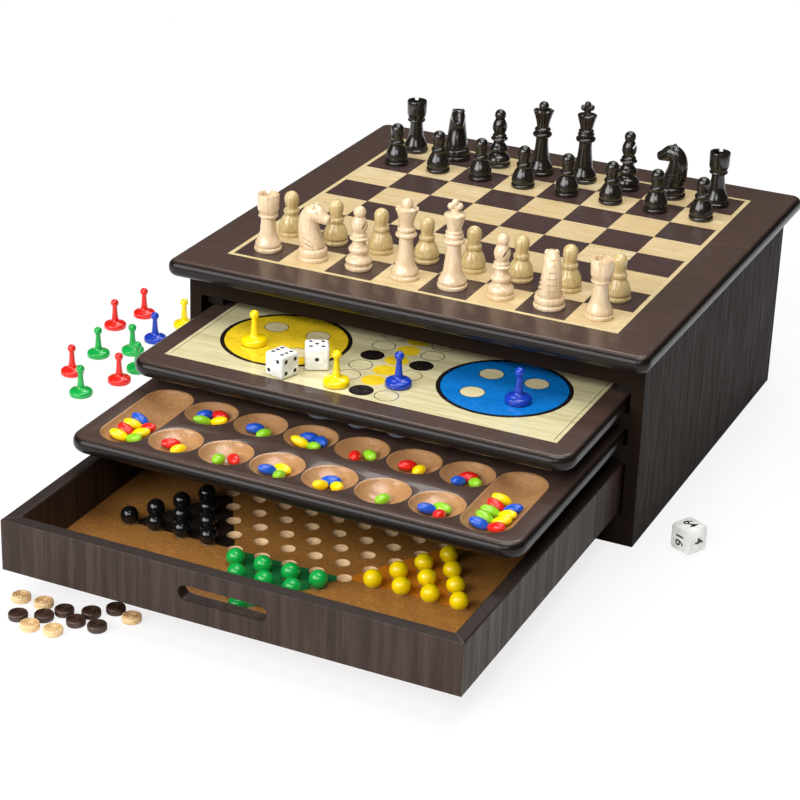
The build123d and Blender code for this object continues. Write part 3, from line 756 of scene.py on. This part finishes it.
def store_tool():
    """The bowl tool pulled out to both ends."""
    tool = bowl_tool("store tool", STORE_WIDTH)
    for side in (-1, 1):
        only(tool)
        bpy.ops.object.mode_set(mode="EDIT")
        bpy.ops.mesh.select_all(action="DESELECT")
        bpy.ops.object.mode_set(mode="OBJECT")
        for vertex in tool.data.vertices:
            vertex.select = side * vertex.co.y > 1e-5
        bpy.ops.object.mode_set(mode="EDIT")
        bpy.ops.transform.translate(value=(0, side * store_straight / 2 * MM, 0))
        bpy.ops.object.mode_set(mode="OBJECT")
    return tool


def on_tray(places, sink=0.0):
    """Places in millimetres, brought to the tray's top or a little below it."""
    return [at(x * MM, y * MM, (tray_top - sink) * MM) for x, y in places]


pit_places = on_tray((x, y) for y in pit_rows for x in pit_columns)
pit_tools = copies("pit tools", bowl_tool("pit tool", pit_width), pit_places)
store_places = on_tray((side * store_x, store_y) for side in (-1, 1))
store_tools = copies("store tools", store_tool(), store_places)
hollow_tools = join("hollow tools", [pit_tools, store_tools])
hollow_tools.data.materials.append(bare_wood)
FIRST_SPOT_ROW, SPOT_PITCH, SPOT_SINK = 109.0, 28.5, 0.6
spot_places = [
    (column * SPOT_PITCH, tray_front + FIRST_SPOT_ROW + row * SPOT_PITCH)
    for row in range(3)
    for column in (-1, 0, 1)
]
recess = turned("recess tool", [(-SPOT_SINK, 8.3), (1, 8.3)], 48)
recess_tools = copies("recess tools", recess, on_tray(spot_places))
recess_tools.data.materials.append(dark_foil)


# %% Shaping the tray
def ease_edges(obj, test, radius, segments):
    """Rounds the edges whose two ends pass the test."""
    only(obj)
    bpy.ops.object.mode_set(mode="EDIT")
    bpy.ops.mesh.select_mode(type="EDGE")
    bpy.ops.mesh.select_all(action="DESELECT")
    bpy.ops.object.mode_set(mode="OBJECT")
    for edge in obj.data.edges:
        edge.select = test(*(obj.data.vertices[index].co for index in edge.vertices))
    bpy.ops.object.mode_set(mode="EDIT")
    bpy.ops.mesh.bevel(offset=radius * MM, segments=segments, affect="EDGES")
    bpy.ops.object.mode_set(mode="OBJECT")


def filled_box(name, low, high):
    """A block that fills a box read from the frame."""
    board = block([v / MM for v in high - low], [v / MM for v in (low + high) / 2])
    board.name = name
    return board


mancala_tray = filled_box("mancala_tray_routed", mancala_low, mancala_high)
CORNER, BULLNOSE, HAIR = 14, 5, 0.01 * MM
front, rear = mancala_low.y + HAIR, mancala_high.y - HAIR
ease_edges(mancala_tray, lambda a, b: a.y < front and abs(a.z - b.z) > HAIR, CORNER, 10)
ease_edges(mancala_tray, lambda a, b: abs(a.z - b.z) < HAIR and min(a.y, b.y) < rear, BULLNOSE, 8)
mancala_tray.data.materials.append(dark_foil)
cut(mancala_tray, hollow_tools)
cut(mancala_tray, recess_tools)
tidy(mancala_tray, 35)
put_in(mancala_tray, None, "dark_wood", "mancala_tray", "mancala_board")

# %% The pale spots of noughts and crosses
grey_print = wooden(
    "pale spot", (186, 196, 214), (164, 174, 194), width=1.2, length=12, pores=0.1, Roughness=0.35
)
spot = turned("spot", [(0, 8.0), (0.25, 8.2), (0.5, 8.2), (0.6, 8.05)], 48)
spots = copies("noughts_spots_round", spot, on_tray(spot_places, SPOT_SINK))
put_in(spots, grey_print, "grey_print", "mancala_tray", "noughts_spots")

# %% [markdown]
# ## Mancala stones
#
# The stones are smooth beans of bright plastic. One is turned about its long axis and pressed a
# little flat. It is then laid against the wall of its bowl: its flat side faces the middle of the
# ball that the bowl was cut with, and the heap in each bowl has its own turn.

# %% One bean
BEAN_RADIUS, BEAN_HALF_LENGTH = 3.8, 6.6


def bean_master():
    """A bean that lies along X."""
    steps = arc(0, BEAN_RADIUS, -84, 84, 12, squash=BEAN_HALF_LENGTH / BEAN_RADIUS)
    bean = turned("bean", steps, 24)
    bean.rotation_euler = (0, pi / 2, 0)
    with editing(settle(bean)):
        bpy.ops.transform.resize(value=(1, 1.06, 0.84), center_override=(0, 0, -3.7 * MM))
    return bean


# %% Where each stone lies
back_row_stones = ("gybr", "bg", "ygbb", "rg", "ry", "bgr")
front_row_stones = ("ry", "gr", "bgy", "yyb", "g", "brg")
back_row_turns = (20, -32, -12, 33, -20, 15)
front_row_turns = (-35, 25, -18, 16, 20, -20)
store_headings = (10, -12, -10, 12, 12, -10, -8, 10, 12)
STORE_ROW, STORE_SIDE, STONE_RISE = 8.8, 5.4, 4.0
heaps = {
    1: ((0, -2.0, 60),),
    2: ((-4.6, -1.2, 70), (4.6, -0.6, 112)),
    3: ((-5.0, -3.4, 58), (5.0, -3.4, 122), (0, 4.2, 8)),
    4: ((-5.2, -4.4, 24), (5.4, -4.2, -24), (-4.8, 4.0, 40), (4.6, 4.4, -30)),
}


def on_wall(centre, wall, across, along, heading, curved_along):
    """The place of a stone across and along from a hollow's lowest point; wall is its radius."""
    slope = along if curved_along else 0
    drop = sqrt((wall - STONE_RISE) ** 2 - across**2 - slope**2)
    inward = Vector((-across, -slope, drop)).normalized()
    level = Vector((cos(heading), sin(heading), 0))
    long_side = (level - inward * inward.dot(level)).normalized()
    where = Vector((centre[0] + across, centre[1] + along, tray_top - PIT_DEPTH + wall - drop))
    lie = Matrix((long_side, inward.cross(long_side), inward)).transposed().to_4x4()
    return Matrix.Translation(where * MM) @ lie


stone_places = {"b": [], "g": [], "r": [], "y": []}
pit_ball = ball_radius(pit_width, PIT_DEPTH)
store_ball = ball_radius(STORE_WIDTH, PIT_DEPTH)
row_stones, row_turns = (back_row_stones, front_row_stones), (back_row_turns, front_row_turns)
for y, row, turns in zip(pit_rows, row_stones, row_turns):
    for x, colours, turn in zip(pit_columns, row, turns):
        angle = radians(turn)
        for colour, (across, along, heading) in zip(colours, heaps[len(colours)]):
            turned_across = across * cos(angle) - along * sin(angle)
            turned_along = across * sin(angle) + along * cos(angle)
            heading = radians(heading + turn)
            place = on_wall((x, y), pit_ball, turned_across, turned_along, heading, True)
            stone_places[colour].append(place)
for end, colours in ((-1, "ygryyrb"), (1, "brgygyrby")):
    for index, (colour, heading) in enumerate(zip(colours, store_headings)):
        across = STORE_SIDE if index % 2 else -STORE_SIDE
        along = STORE_ROW * (index // 2) - store_straight / 2
        middle = (end * store_x, store_y)
        place = on_wall(middle, store_ball, across, along, radians(heading), False)
        stone_places[colour].append(place)

# %% Laying the stones
stone_plastics = {"blue": "stone blue", "green": "lime", "red": "red", "yellow": "yellow"}
for colour, plastic in stone_plastics.items():
    stones = copies(f"stones_{colour}_beans", bean_master(), stone_places[colour[0]])
    tidy(stones, 60)
    put_in(stones, plastics[plastic], f"{colour}_bead", "mancala_tray", f"stones_{colour}")

# %% [markdown]
# ## Star board and marbles
#
# The drawer's floor is printed board with 121 shallow dimples on a triangular lattice. All the
# dimples are cut at once, and their bare finish comes over from the tools. The marbles stand on the
# lattice too, so their places are worked out with the same rule.

# %% The lattice
STAR_PITCH, STAR_ARM = 19.3, 4
star_middle = (star_low.y + star_high.y) / 2
half_rows = list(range(1, STAR_ARM + 1)) + [3 * STAR_ARM + 1 - row for row in range(STAR_ARM)]
star_rows = half_rows + [2 * STAR_ARM + 1] + half_rows[::-1]


def star_place(row, index):
    """Middle of a dimple; rows count from the front tip, dimples from the left."""
    x = (index - (star_rows[row] - 1) / 2) * STAR_PITCH * MM
    y = star_middle + (row - 2 * STAR_ARM) * STAR_PITCH * MM * sqrt(3) / 2
    return (x, y)


dimple_places = [star_place(row, i) for row, count in enumerate(star_rows) for i in range(count)]
print(len(dimple_places), "dimples")

# %% The star print
star_print = wooden(
    "star print", (172, 120, 60), (142, 94, 44), width=1.4, length=2.2, pores=0.3, bump=0.02,
    Roughness=0.36, Specular_IOR_Level=0.3,
)
dimple_wood = wooden(
    "dimple wood", (240, 206, 162), (218, 176, 132), width=1.5, length=6, pores=0.2, Roughness=0.5
)
DIMPLE_WIDTH, DIMPLE_DEPTH = 9.8, 2.0
star_board = filled_box("star_board_dimpled", star_low, star_high)
star_board.data.materials.append(star_print)
arm_inks = {
    -90: ("green", (30, 108, 56)), -150: ("black", (38, 28, 22)), -30: ("orange", (206, 122, 30)),
    90: ("red", (184, 48, 34)), 30: ("blue", (36, 84, 156)), 150: ("cream", (224, 202, 150)),
}


def point_tool(direction, ink):
    """A thin three-sided tool over one point of the star, from dimple to dimple."""
    side, heading = STAR_ARM * STAR_PITCH * MM, radians(direction)
    reach = side * sqrt(3) * 2 / 3
    prism = bpy.ops.mesh.primitive_cylinder_add
    tool = added(prism, vertices=3, radius=side / sqrt(3), depth=2 * MM)
    corner = tool.data.vertices[0].co
    tool.rotation_euler.z = heading - atan2(corner.y, corner.x)
    tool.location = (
        reach * cos(heading), star_middle + reach * sin(heading), star_high.z + 0.96 * MM
    )
    tool.data.materials.append(ink)
    return settle(tool)


for direction, (colour, ink_colour) in arm_inks.items():
    cut(star_board, point_tool(direction, moulded(f"{colour} star ink", ink_colour, 0.34)))
dimple_steps = [(-DIMPLE_DEPTH, 0.3)] + bowl_steps(DIMPLE_WIDTH, DIMPLE_DEPTH, 4) + [(1, 5.1)]
dimple_tools = copies(
    "dimple tools", turned("dimple tool", dimple_steps, 24),
    [at(x, y, star_high.z) for x, y in dimple_places],
)
dimple_tools.data.materials.append(dimple_wood)
cut(star_board, dimple_tools)
tidy(star_board, 30)
put_in(star_board, None, "star_print", "drawer", "star_board")

# %% Marbles
marble_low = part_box("marbles_green")[0].z
front_point = [star_place(row, i) for row in range(STAR_ARM) for i in range(row + 1)]
side_rows = [(row, i) for row in range(STAR_ARM, 2 * STAR_ARM) for i in range(2 * STAR_ARM - row)]
left_point = [star_place(row, i) for row, i in side_rows]
right_point = [star_place(row, star_rows[row] - 1 - i) for row, i in side_rows]
for colour, points in (("green", front_point), ("black", left_point), ("yellow", right_point)):
    marble = turned("marble", arc(6, 6, -86, 86, 16))
    marble_places = [at(x, y, marble_low) for x, y in points]
    marbles = copies(f"marbles_{colour}_round", marble, marble_places)
    put_in(marbles, plastics[colour], f"{colour}_bead", "drawer", f"marbles_{colour}")

# %% [markdown]
# ## Ludo print
#
# The ludo tray carries a printed sheet. Its pale wood is a finish on the inlaid solid. The circles
# are flat films laid a few hundredths of a millimetre above it, so they stay crisp from any side. A
# film starts as a circle and is filled, or widened into a ring.

# %% The sheet and its inks
ludo_print = wooden(
    "ludo sheet", (232, 224, 182), (208, 196, 146), width=3.4, length=70, pores=0.2, bump=0.01,
    Roughness=0.25, Coat_Weight=0.5, Coat_Roughness=0.05,
)
dress(ludo_print, "ludo_sheet")
inks = {
    "yellow": moulded("yellow ink", (252, 214, 40), 0.24, Coat_Weight=0.5),
    "blue": moulded("blue ink", (12, 122, 208), 0.24, Coat_Weight=0.5),
    "red": moulded("red ink", (204, 52, 40), 0.24, Coat_Weight=0.4),
    "green": moulded("green ink", (40, 140, 70), 0.24, Coat_Weight=0.4),
    "black": moulded("black ink", (30, 24, 23), 0.26, Coat_Weight=0.4),
}
spot_ink = wooden(
    "home spot", (238, 226, 182), (216, 200, 150), width=3, length=40, pores=0.15, bump=0.02,
    Roughness=0.24, Coat_Weight=0.4,
)
sheet_middle = (ludo_low + ludo_high) / 2
sheet_top = ludo_high.z
FILM_STEP = 0.02


def film(x, y, radius, layer=0, ring=0.0, sides=64):
    """A flat disc, or a ring of this width, in millimetres from the middle of the sheet."""
    height = sheet_top + (FILM_STEP + FILM_STEP * layer) * MM
    place = (sheet_middle.x + x * MM, sheet_middle.y + y * MM, height)
    made = added(
        bpy.ops.mesh.primitive_circle_add, place,
        vertices=sides, radius=radius * MM, fill_type="NOTHING" if ring else "NGON",
    )
    if ring:
        inner = (radius - ring) / radius
        with editing(made):
            bpy.ops.mesh.extrude_region_move()
            bpy.ops.transform.resize(value=(inner, inner, 1), center_override=place)
    return made


def print_films(name, ink, films):
    """Films of one ink joined, faced upwards."""
    printed = tidy(join(name, films))
    if printed.data.polygons[0].normal.z < 0:
        with editing(printed):
            bpy.ops.mesh.flip_normals()
    put_in(printed, ink, "ludo_print", "ludo_tray")


# %% [markdown]
# The board is the usual cross: three files of circles in each arm, a coloured file that leads in to
# the middle, a black starting circle, and a round home with four spots in each corner.

# %% Printing the board
HOME, HOME_STEP, HOME_RING, HOME_DISC = 80.0, 16.0, 44.9, 42.4
FIRST_CIRCLE, PITCH, CIRCLE = 128.5, 18.0, 8.2
corners = {"yellow": (-1, -1), "blue": (1, -1), "red": (1, 1), "green": (-1, 1)}
arms = {"yellow": (0, -1), "blue": (1, 0), "red": (0, 1), "green": (-1, 0)}
outlines, blacks, home_spots = [], [], []
coloured = {colour: [] for colour in corners}
for colour, (across, along) in corners.items():
    x, y = across * HOME, along * HOME
    blacks.append(film(x, y, HOME_RING, 0, ring=3.0, sides=96))
    coloured[colour].append(film(x, y, HOME_DISC, 0, sides=96))
    for dx in (-1, 1):
        for dy in (-1, 1):
            spot_x, spot_y = x + dx * HOME_STEP, y + dy * HOME_STEP
            home_spots.append(film(spot_x, spot_y, CIRCLE, 1))
            outlines.append(film(spot_x, spot_y, CIRCLE + 0.3, 2, ring=0.5))
for colour, (across, along) in arms.items():
    for row in range(6):
        distance = FIRST_CIRCLE - PITCH * row
        for column in (-1, 0, 1):
            x = across * distance + column * PITCH * abs(along)
            y = along * distance + column * PITCH * abs(across)
            if column == 0 and row:
                coloured[colour].append(film(x, y, CIRCLE, 0))
            elif column == 0 or row == 3:
                blacks.append(film(x, y, CIRCLE, 0))
            else:
                outlines.append(film(x, y, CIRCLE, 0, ring=0.55))
BORDER_INSET, BORDER_LINE = 3, 0.4
half = (ludo_high.x - ludo_low.x) / MM / 2 - BORDER_INSET
upright, level = (BORDER_LINE, 2 * half, FILM_STEP), (2 * half, BORDER_LINE, FILM_STEP)
for x, y, size in ((-half, 0, upright), (half, 0, upright), (0, half, level)):
    place = (sheet_middle.x / MM + x, sheet_middle.y / MM + y, sheet_top / MM + FILM_STEP / 2)
    outlines.append(block(size, place))
for colour, films in coloured.items():
    print_films(f"ludo_print_{colour}", inks[colour], films)
print_films("ludo_print_black", inks["black"], blacks)
print_films("ludo_print_outlines", inks["black"], outlines)
print_films("ludo_print_spots", spot_ink, home_spots)

# %% [markdown]
# ## Ludo pawns
#
# A pawn is a wide moulded disc with a rounded shoulder, a thin stem that tapers, and a ball. The
# same pawn stands on the ludo tray and lies about on the table, so one is turned and copied to
# every place.

# %% Pawns
ludo_pawn_steps = [(0, 8.3), (0.4, 8.7), (1.0, 8.8), (2.8, 8.8), (3.5, 8.5), (4.1, 7.8), (4.6, 6.6)]
ludo_pawn_steps += [(5.0, 5.2), (5.4, 3.9), (6.0, 3.2), (7.2, 2.8), (9.5, 2.4), (13, 2.1)]
ludo_pawn_steps += [(16.5, 1.9), (17.6, 1.9)]
ludo_pawn_steps += arc(20.8, 3.2, -50, 84, 10)
pawn_spots = {
    "ludo_pawns_yellow": [(-96, -191), (-18, -223.5)],
    "ludo_pawns_blue": [(96, -191), (18, -205.5)],
    "spare_pawns_red": [(-322.5, -3.9), (-314.4, 27.7), (-303.8, -96.3), (-264.7, -92.1)],
    "spare_pawns_green": [(-304.4, -57.9), (-284.4, -40.0), (-263.4, -67.2), (-277.8, -125.2)],
    "spare_pawn_blue": [(-281.1, -11.4)],
    "spare_pawn_yellow": [(-275.1, 24.0)],
}
for node, places in pawn_spots.items():
    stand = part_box(node)[0].z
    colour = node.split("_")[-1]
    pawns = copies(
        f"{node}_turned", turned("ludo pawn", ludo_pawn_steps),
        [at(x * MM, y * MM, stand, 0.7 * index) for index, (x, y) in enumerate(places)],
    )
    body = "ludo_pieces" if node.startswith("ludo") else "spare_pieces"
    put_in(pawns, plastics[colour], f"{colour}_bead", body, node)

# %% [markdown]
# ## Dice
#
# A die is a cube with eased edges. Its pips are small dished hollows, cut by one set of balls that
# brings the black paint with it. Opposite faces add up to seven.

# %% Pips
PIP_GRID = {
    1: ((0, 0),),
    2: ((-1, -1), (1, 1)),
    3: ((-1, -1), (0, 0), (1, 1)),
    4: ((-1, -1), (-1, 1), (1, -1), (1, 1)),
    5: ((-1, -1), (-1, 1), (0, 0), (1, -1), (1, 1)),
    6: ((-1, -1), (-1, 0), (-1, 1), (1, -1), (1, 0), (1, 1)),
}


def face_matrix(facing, size, sink=0.0):
    """From the plane of a drawing to the middle of a cube's face."""
    quarter_turns = {  # about X, then about Z
        "top": (0, 0), "bottom": (2, 0), "front": (1, 0),
        "back": (1, 2), "right": (1, 1), "left": (1, -1),
    }
    lean, turn = (pi / 2 * quarters for quarters in quarter_turns[facing])
    face = at(0, 0, size / 2 * MM, turn) @ Matrix.Rotation(lean, 4, "X")
    return face @ at(0, 0, (size / 2 - sink) * MM)


DIE, PIP_STEP, PIP_RADIUS, PIP_RISE = 16.0, 4.1, 1.95, 1.3


def die(name, faces):
    """A die standing at the origin; faces gives the number that each side shows."""
    cube = block((DIE, DIE, DIE), (0, 0, DIE / 2), bevel=1.6)
    cube.name = name
    cube.data.materials.append(die_white)
    balls = []
    for facing, number in faces.items():
        for across, along in PIP_GRID[number]:
            pip = Vector((across * PIP_STEP * MM, along * PIP_STEP * MM, PIP_RISE * MM))
            balls.append(ball(PIP_RADIUS, face_matrix(facing, DIE) @ pip))
    pips = join("pips", balls)
    pips.data.materials.append(pip_black)
    return tidy(cut(cube, pips), 30)


# %% The two dice
dice_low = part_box("dice")[0].z
ludo_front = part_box("ludo_board")[0].y
first_die = die("die one", {"top": 6, "bottom": 1, "front": 2, "back": 5, "right": 4, "left": 3})
second_die = die("die two", {"top": 5, "bottom": 2, "front": 1, "back": 6, "right": 3, "left": 4})
first_die.matrix_world = at(-56.5 * MM, ludo_front + 29.4 * MM, dice_low, radians(-18))
second_die.matrix_world = at(-42.2 * MM, ludo_front + 51.5 * MM, dice_low, radians(28))
dice = join("dice_pipped", [first_die, second_die])
put_in(dice, None, "die_white", "ludo_pieces", "dice")


# %% [markdown]
# ## Doubling cube
#
# The backgammon cube carries 2, 4, 8, 16, 32 and 64. Each number is a text made into a thin mesh
# and laid on its face.

# %% The doubling cube
CUBE, CUBE_EDGE, NUMERAL = 18, 2.9, 9.8


def numeral(facing, number, turn):
    """A number on a face of the cube."""
    bpy.ops.object.select_all(action="DESELECT")
    bpy.ops.object.text_add()
    letters = bpy.context.object.data
    letters.body, letters.size = number, NUMERAL * MM
    letters.align_x = letters.align_y = "CENTER"
    letters.extrude, letters.offset = 0.05 * MM, 0.2 * MM
    bpy.ops.object.convert(target="MESH")
    bpy.context.object.matrix_world = face_matrix(facing, CUBE, 0.04) @ at(0, 0, 0, turn)
    return bpy.context.object


doubling_cube = block((CUBE, CUBE, CUBE), (0, 0, CUBE / 2), bevel=CUBE_EDGE)
doubling_cube.name = "doubling_cube_numbered"
doubling_cube.data.materials.append(die_white)
cube_faces = [
    ("top", "64", 0), ("front", "16", -pi / 2), ("right", "4", -pi / 2),
    ("back", "2", 0), ("left", "8", 0), ("bottom", "32", 0),
]
numbers = join("doubling_cube_numbers", [numeral(*face) for face in cube_faces])
cube_low, cube_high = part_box("doubling_cube")
cube_middle = (cube_low + cube_high) / 2
for piece in (doubling_cube, numbers):
    piece.matrix_world = at(cube_middle.x, cube_middle.y, cube_low.z, radians(-28))
    tidy(piece, 30)
put_in(doubling_cube, die_white, "die_white", "spare_pieces", "doubling_cube")
put_in(numbers, pip_black, "die_white", "spare_pieces")

# %% [markdown]
# ## Mitre lines
#
# The drawer's front and sides meet in mitres. A thin line of glue shows along each one on the rim.

# %% Mitre lines on the drawer's rim
front_low, front_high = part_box("drawer_front")
stock = (front_high.y - front_low.y) / MM
lines = []
for side, edge in ((-1, front_low.x), (1, front_high.x)):
    middle = (edge / MM - side * stock / 2, front_low.y / MM + stock / 2, front_high.z / MM)
    lines.append(block((stock * 1.38, 0.4, 0.1), middle, turn=-side * pi / 4))
glue = wooden("glue line", (112, 96, 84), (78, 64, 56), width=0.8, length=3, Roughness=0.5)
put_in(tidy(join("drawer_mitre_lines", lines)), glue, "dark_wood", "drawer")

# %% [markdown]
# ## Draughtsmen
#
# A draughtsman is a low disc with rings turned into its face. Each has its own turn, so the grain
# differs from one to the next.

# %% Draughtsmen
draught_steps = [(0, 5.6), (0.3, 6.0), (0.8, 6.2), (3.4, 6.2), (3.9, 6.0), (4.2, 5.5), (4.2, 4.9)]
draught_steps += [(3.1, 4.75), (3.0, 4.2), (4.1, 4.0), (4.15, 3.4), (3.1, 3.2), (3.0, 2.6)]
draught_steps += [(4.1, 2.4), (4.1, 1.8), (3.1, 1.6), (3.0, 1.0), (4.0, 0.8), (4.05, 0.2)]
draught_spots = {
    "light": [
        (-146.5, -402), (-130.2, -401.4), (-122.8, -428.4), (-107.1, -426.5), (-72.8, -391.1),
    ],
    "dark": [
        (-136, -421.3), (-121.4, -414.6), (-113.8, -403.5), (-100.8, -410.7), (-98, -397.5),
        (-86, -410), (-87, -386.5),
    ],
}
pale_draught = wooden(
    "pale draught", (246, 218, 170), (226, 188, 134), width=1.1, length=16, pores=0.2,
    Roughness=0.45, Specular_IOR_Level=0.3,
)
brown_draught = wooden(
    "brown draught", (82, 60, 50), (60, 43, 36), width=1.1, length=16, pores=0.3, Roughness=0.34,
    Specular_IOR_Level=0.5,
)
draught_woods = {"light": (pale_draught, "ivory_wood"), "dark": (brown_draught, "ebony_wood")}
for colour, (wood, slot) in draught_woods.items():
    men = copies(
        f"draughtsmen_{colour}_ringed", turned("draughtsman", draught_steps, 40),
        [at(x * MM, y * MM, 0, 0.9 * index) for index, (x, y) in enumerate(draught_spots[colour])],
    )
    put_in(men, wood, slot, "draughtsmen", f"draughtsmen_{colour}")

# %% [markdown]
# ## The table, the light and the camera
#
# The set stands on a white table that carries its shadow. Far from the set the table turns into
# plain white for the camera alone, so it meets the white world with no edge. The main light is a
# large soft one from the front left. A wide one hangs overhead, a strip behind gives the lacquer
# its bright lines, and a weak one at the front right softens the shade.

# %% Table
TABLE_SIZE, TABLE_GAP = 9, 0.4 * MM
table = added(bpy.ops.mesh.primitive_plane_add, (0, 1.2, -TABLE_GAP), size=TABLE_SIZE)
table.name = "table"
table_white = finish("table white", Base_Color=(0.97, 0.97, 0.97, 1), Roughness=0.9)
tree = table_white.node_tree
spread = add_node(tree, "ShaderNodeVectorMath", {0: coordinates(table_white)}, operation="LENGTH")
far = remap(tree, spread.outputs["Value"], 0.45, 0.95)
seen = add_node(tree, "ShaderNodeLightPath").outputs["Is Camera Ray"]
whitened = {0: remap(tree, far, 0, 1, 0.8, 1), 1: seen}
only_seen = add_node(tree, "ShaderNodeMath", whitened, operation="MULTIPLY")
plain_white = add_node(tree, "ShaderNodeEmission", {"Color": (1, 1, 1, 1), "Strength": 1.0})
mixed = add_node(
    tree,
    "ShaderNodeMixShader",
    {
        0: only_seen.outputs[0],
        1: tree.nodes["Principled BSDF"].outputs[0],
        2: plain_white.outputs[0],
    },
)
tree.links.new(mixed.outputs[0], tree.nodes["Material Output"].inputs["Surface"])
table.data.materials.append(table_white)

# %% World
world = bpy.data.worlds.new("studio")
bpy.context.scene.world = world
world.use_nodes = True
background = world.node_tree.nodes["Background"]
path = add_node(world.node_tree, "ShaderNodeLightPath")
level = add_node(
    world.node_tree, "ShaderNodeMapRange",
    {"Value": path.outputs["Is Camera Ray"], "To Min": 0.48, "To Max": 1.0},
)
world.node_tree.links.new(level.outputs["Result"], background.inputs["Strength"])


# %% Lights
def soft_light(name, place, target, size, power):
    bpy.ops.object.select_all(action="DESELECT")
    bpy.ops.object.light_add(type="AREA", location=place)
    light = bpy.context.object
    light.name = name
    light.data.shape = "RECTANGLE"
    light.data.size, light.data.size_y = size
    light.data.energy = power
    aim = Vector(target) - Vector(place)
    light.rotation_euler = aim.to_track_quat("-Z", "Y").to_euler()
    return light


soft_light("key", (-0.95, -2.05, 1.35), (0, -0.1, 0.1), (2.2, 1.5), 62)
soft_light("overhead", (0.3, -0.2, 2.4), (0, -0.1, 0), (1.6, 1.6), 38)
soft_light("back strip", (-0.4, 1.5, 2.2), (0, 0, 0.1), (2.0, 0.6), 24)
soft_light("fill", (0.75, -2.0, 1.6), (0.05, -0.15, 0.05), (0.9, 0.9), 13)

# %% Camera
bpy.ops.object.select_all(action="DESELECT")
bpy.ops.object.camera_add(location=(0.581085, -1.449521, 0.729573))
camera = bpy.context.object
camera.name = "view"
right = Vector((0.89827515, 0.43876193, 0.02428413))
down = Vector((0.19823984, -0.35529654, -0.91349075))
forward = Vector((-0.39217689, 0.82538012, -0.40613415))
camera.rotation_euler = Matrix((right, -down, -forward)).transposed().to_euler()
camera.data.sensor_width = 36
camera.data.lens = 104.1
camera.data.shift_x = 0.05
camera.data.shift_y = -0.05
bpy.context.scene.camera = camera
bpy.context.scene.view_settings.view_transform = "Standard"
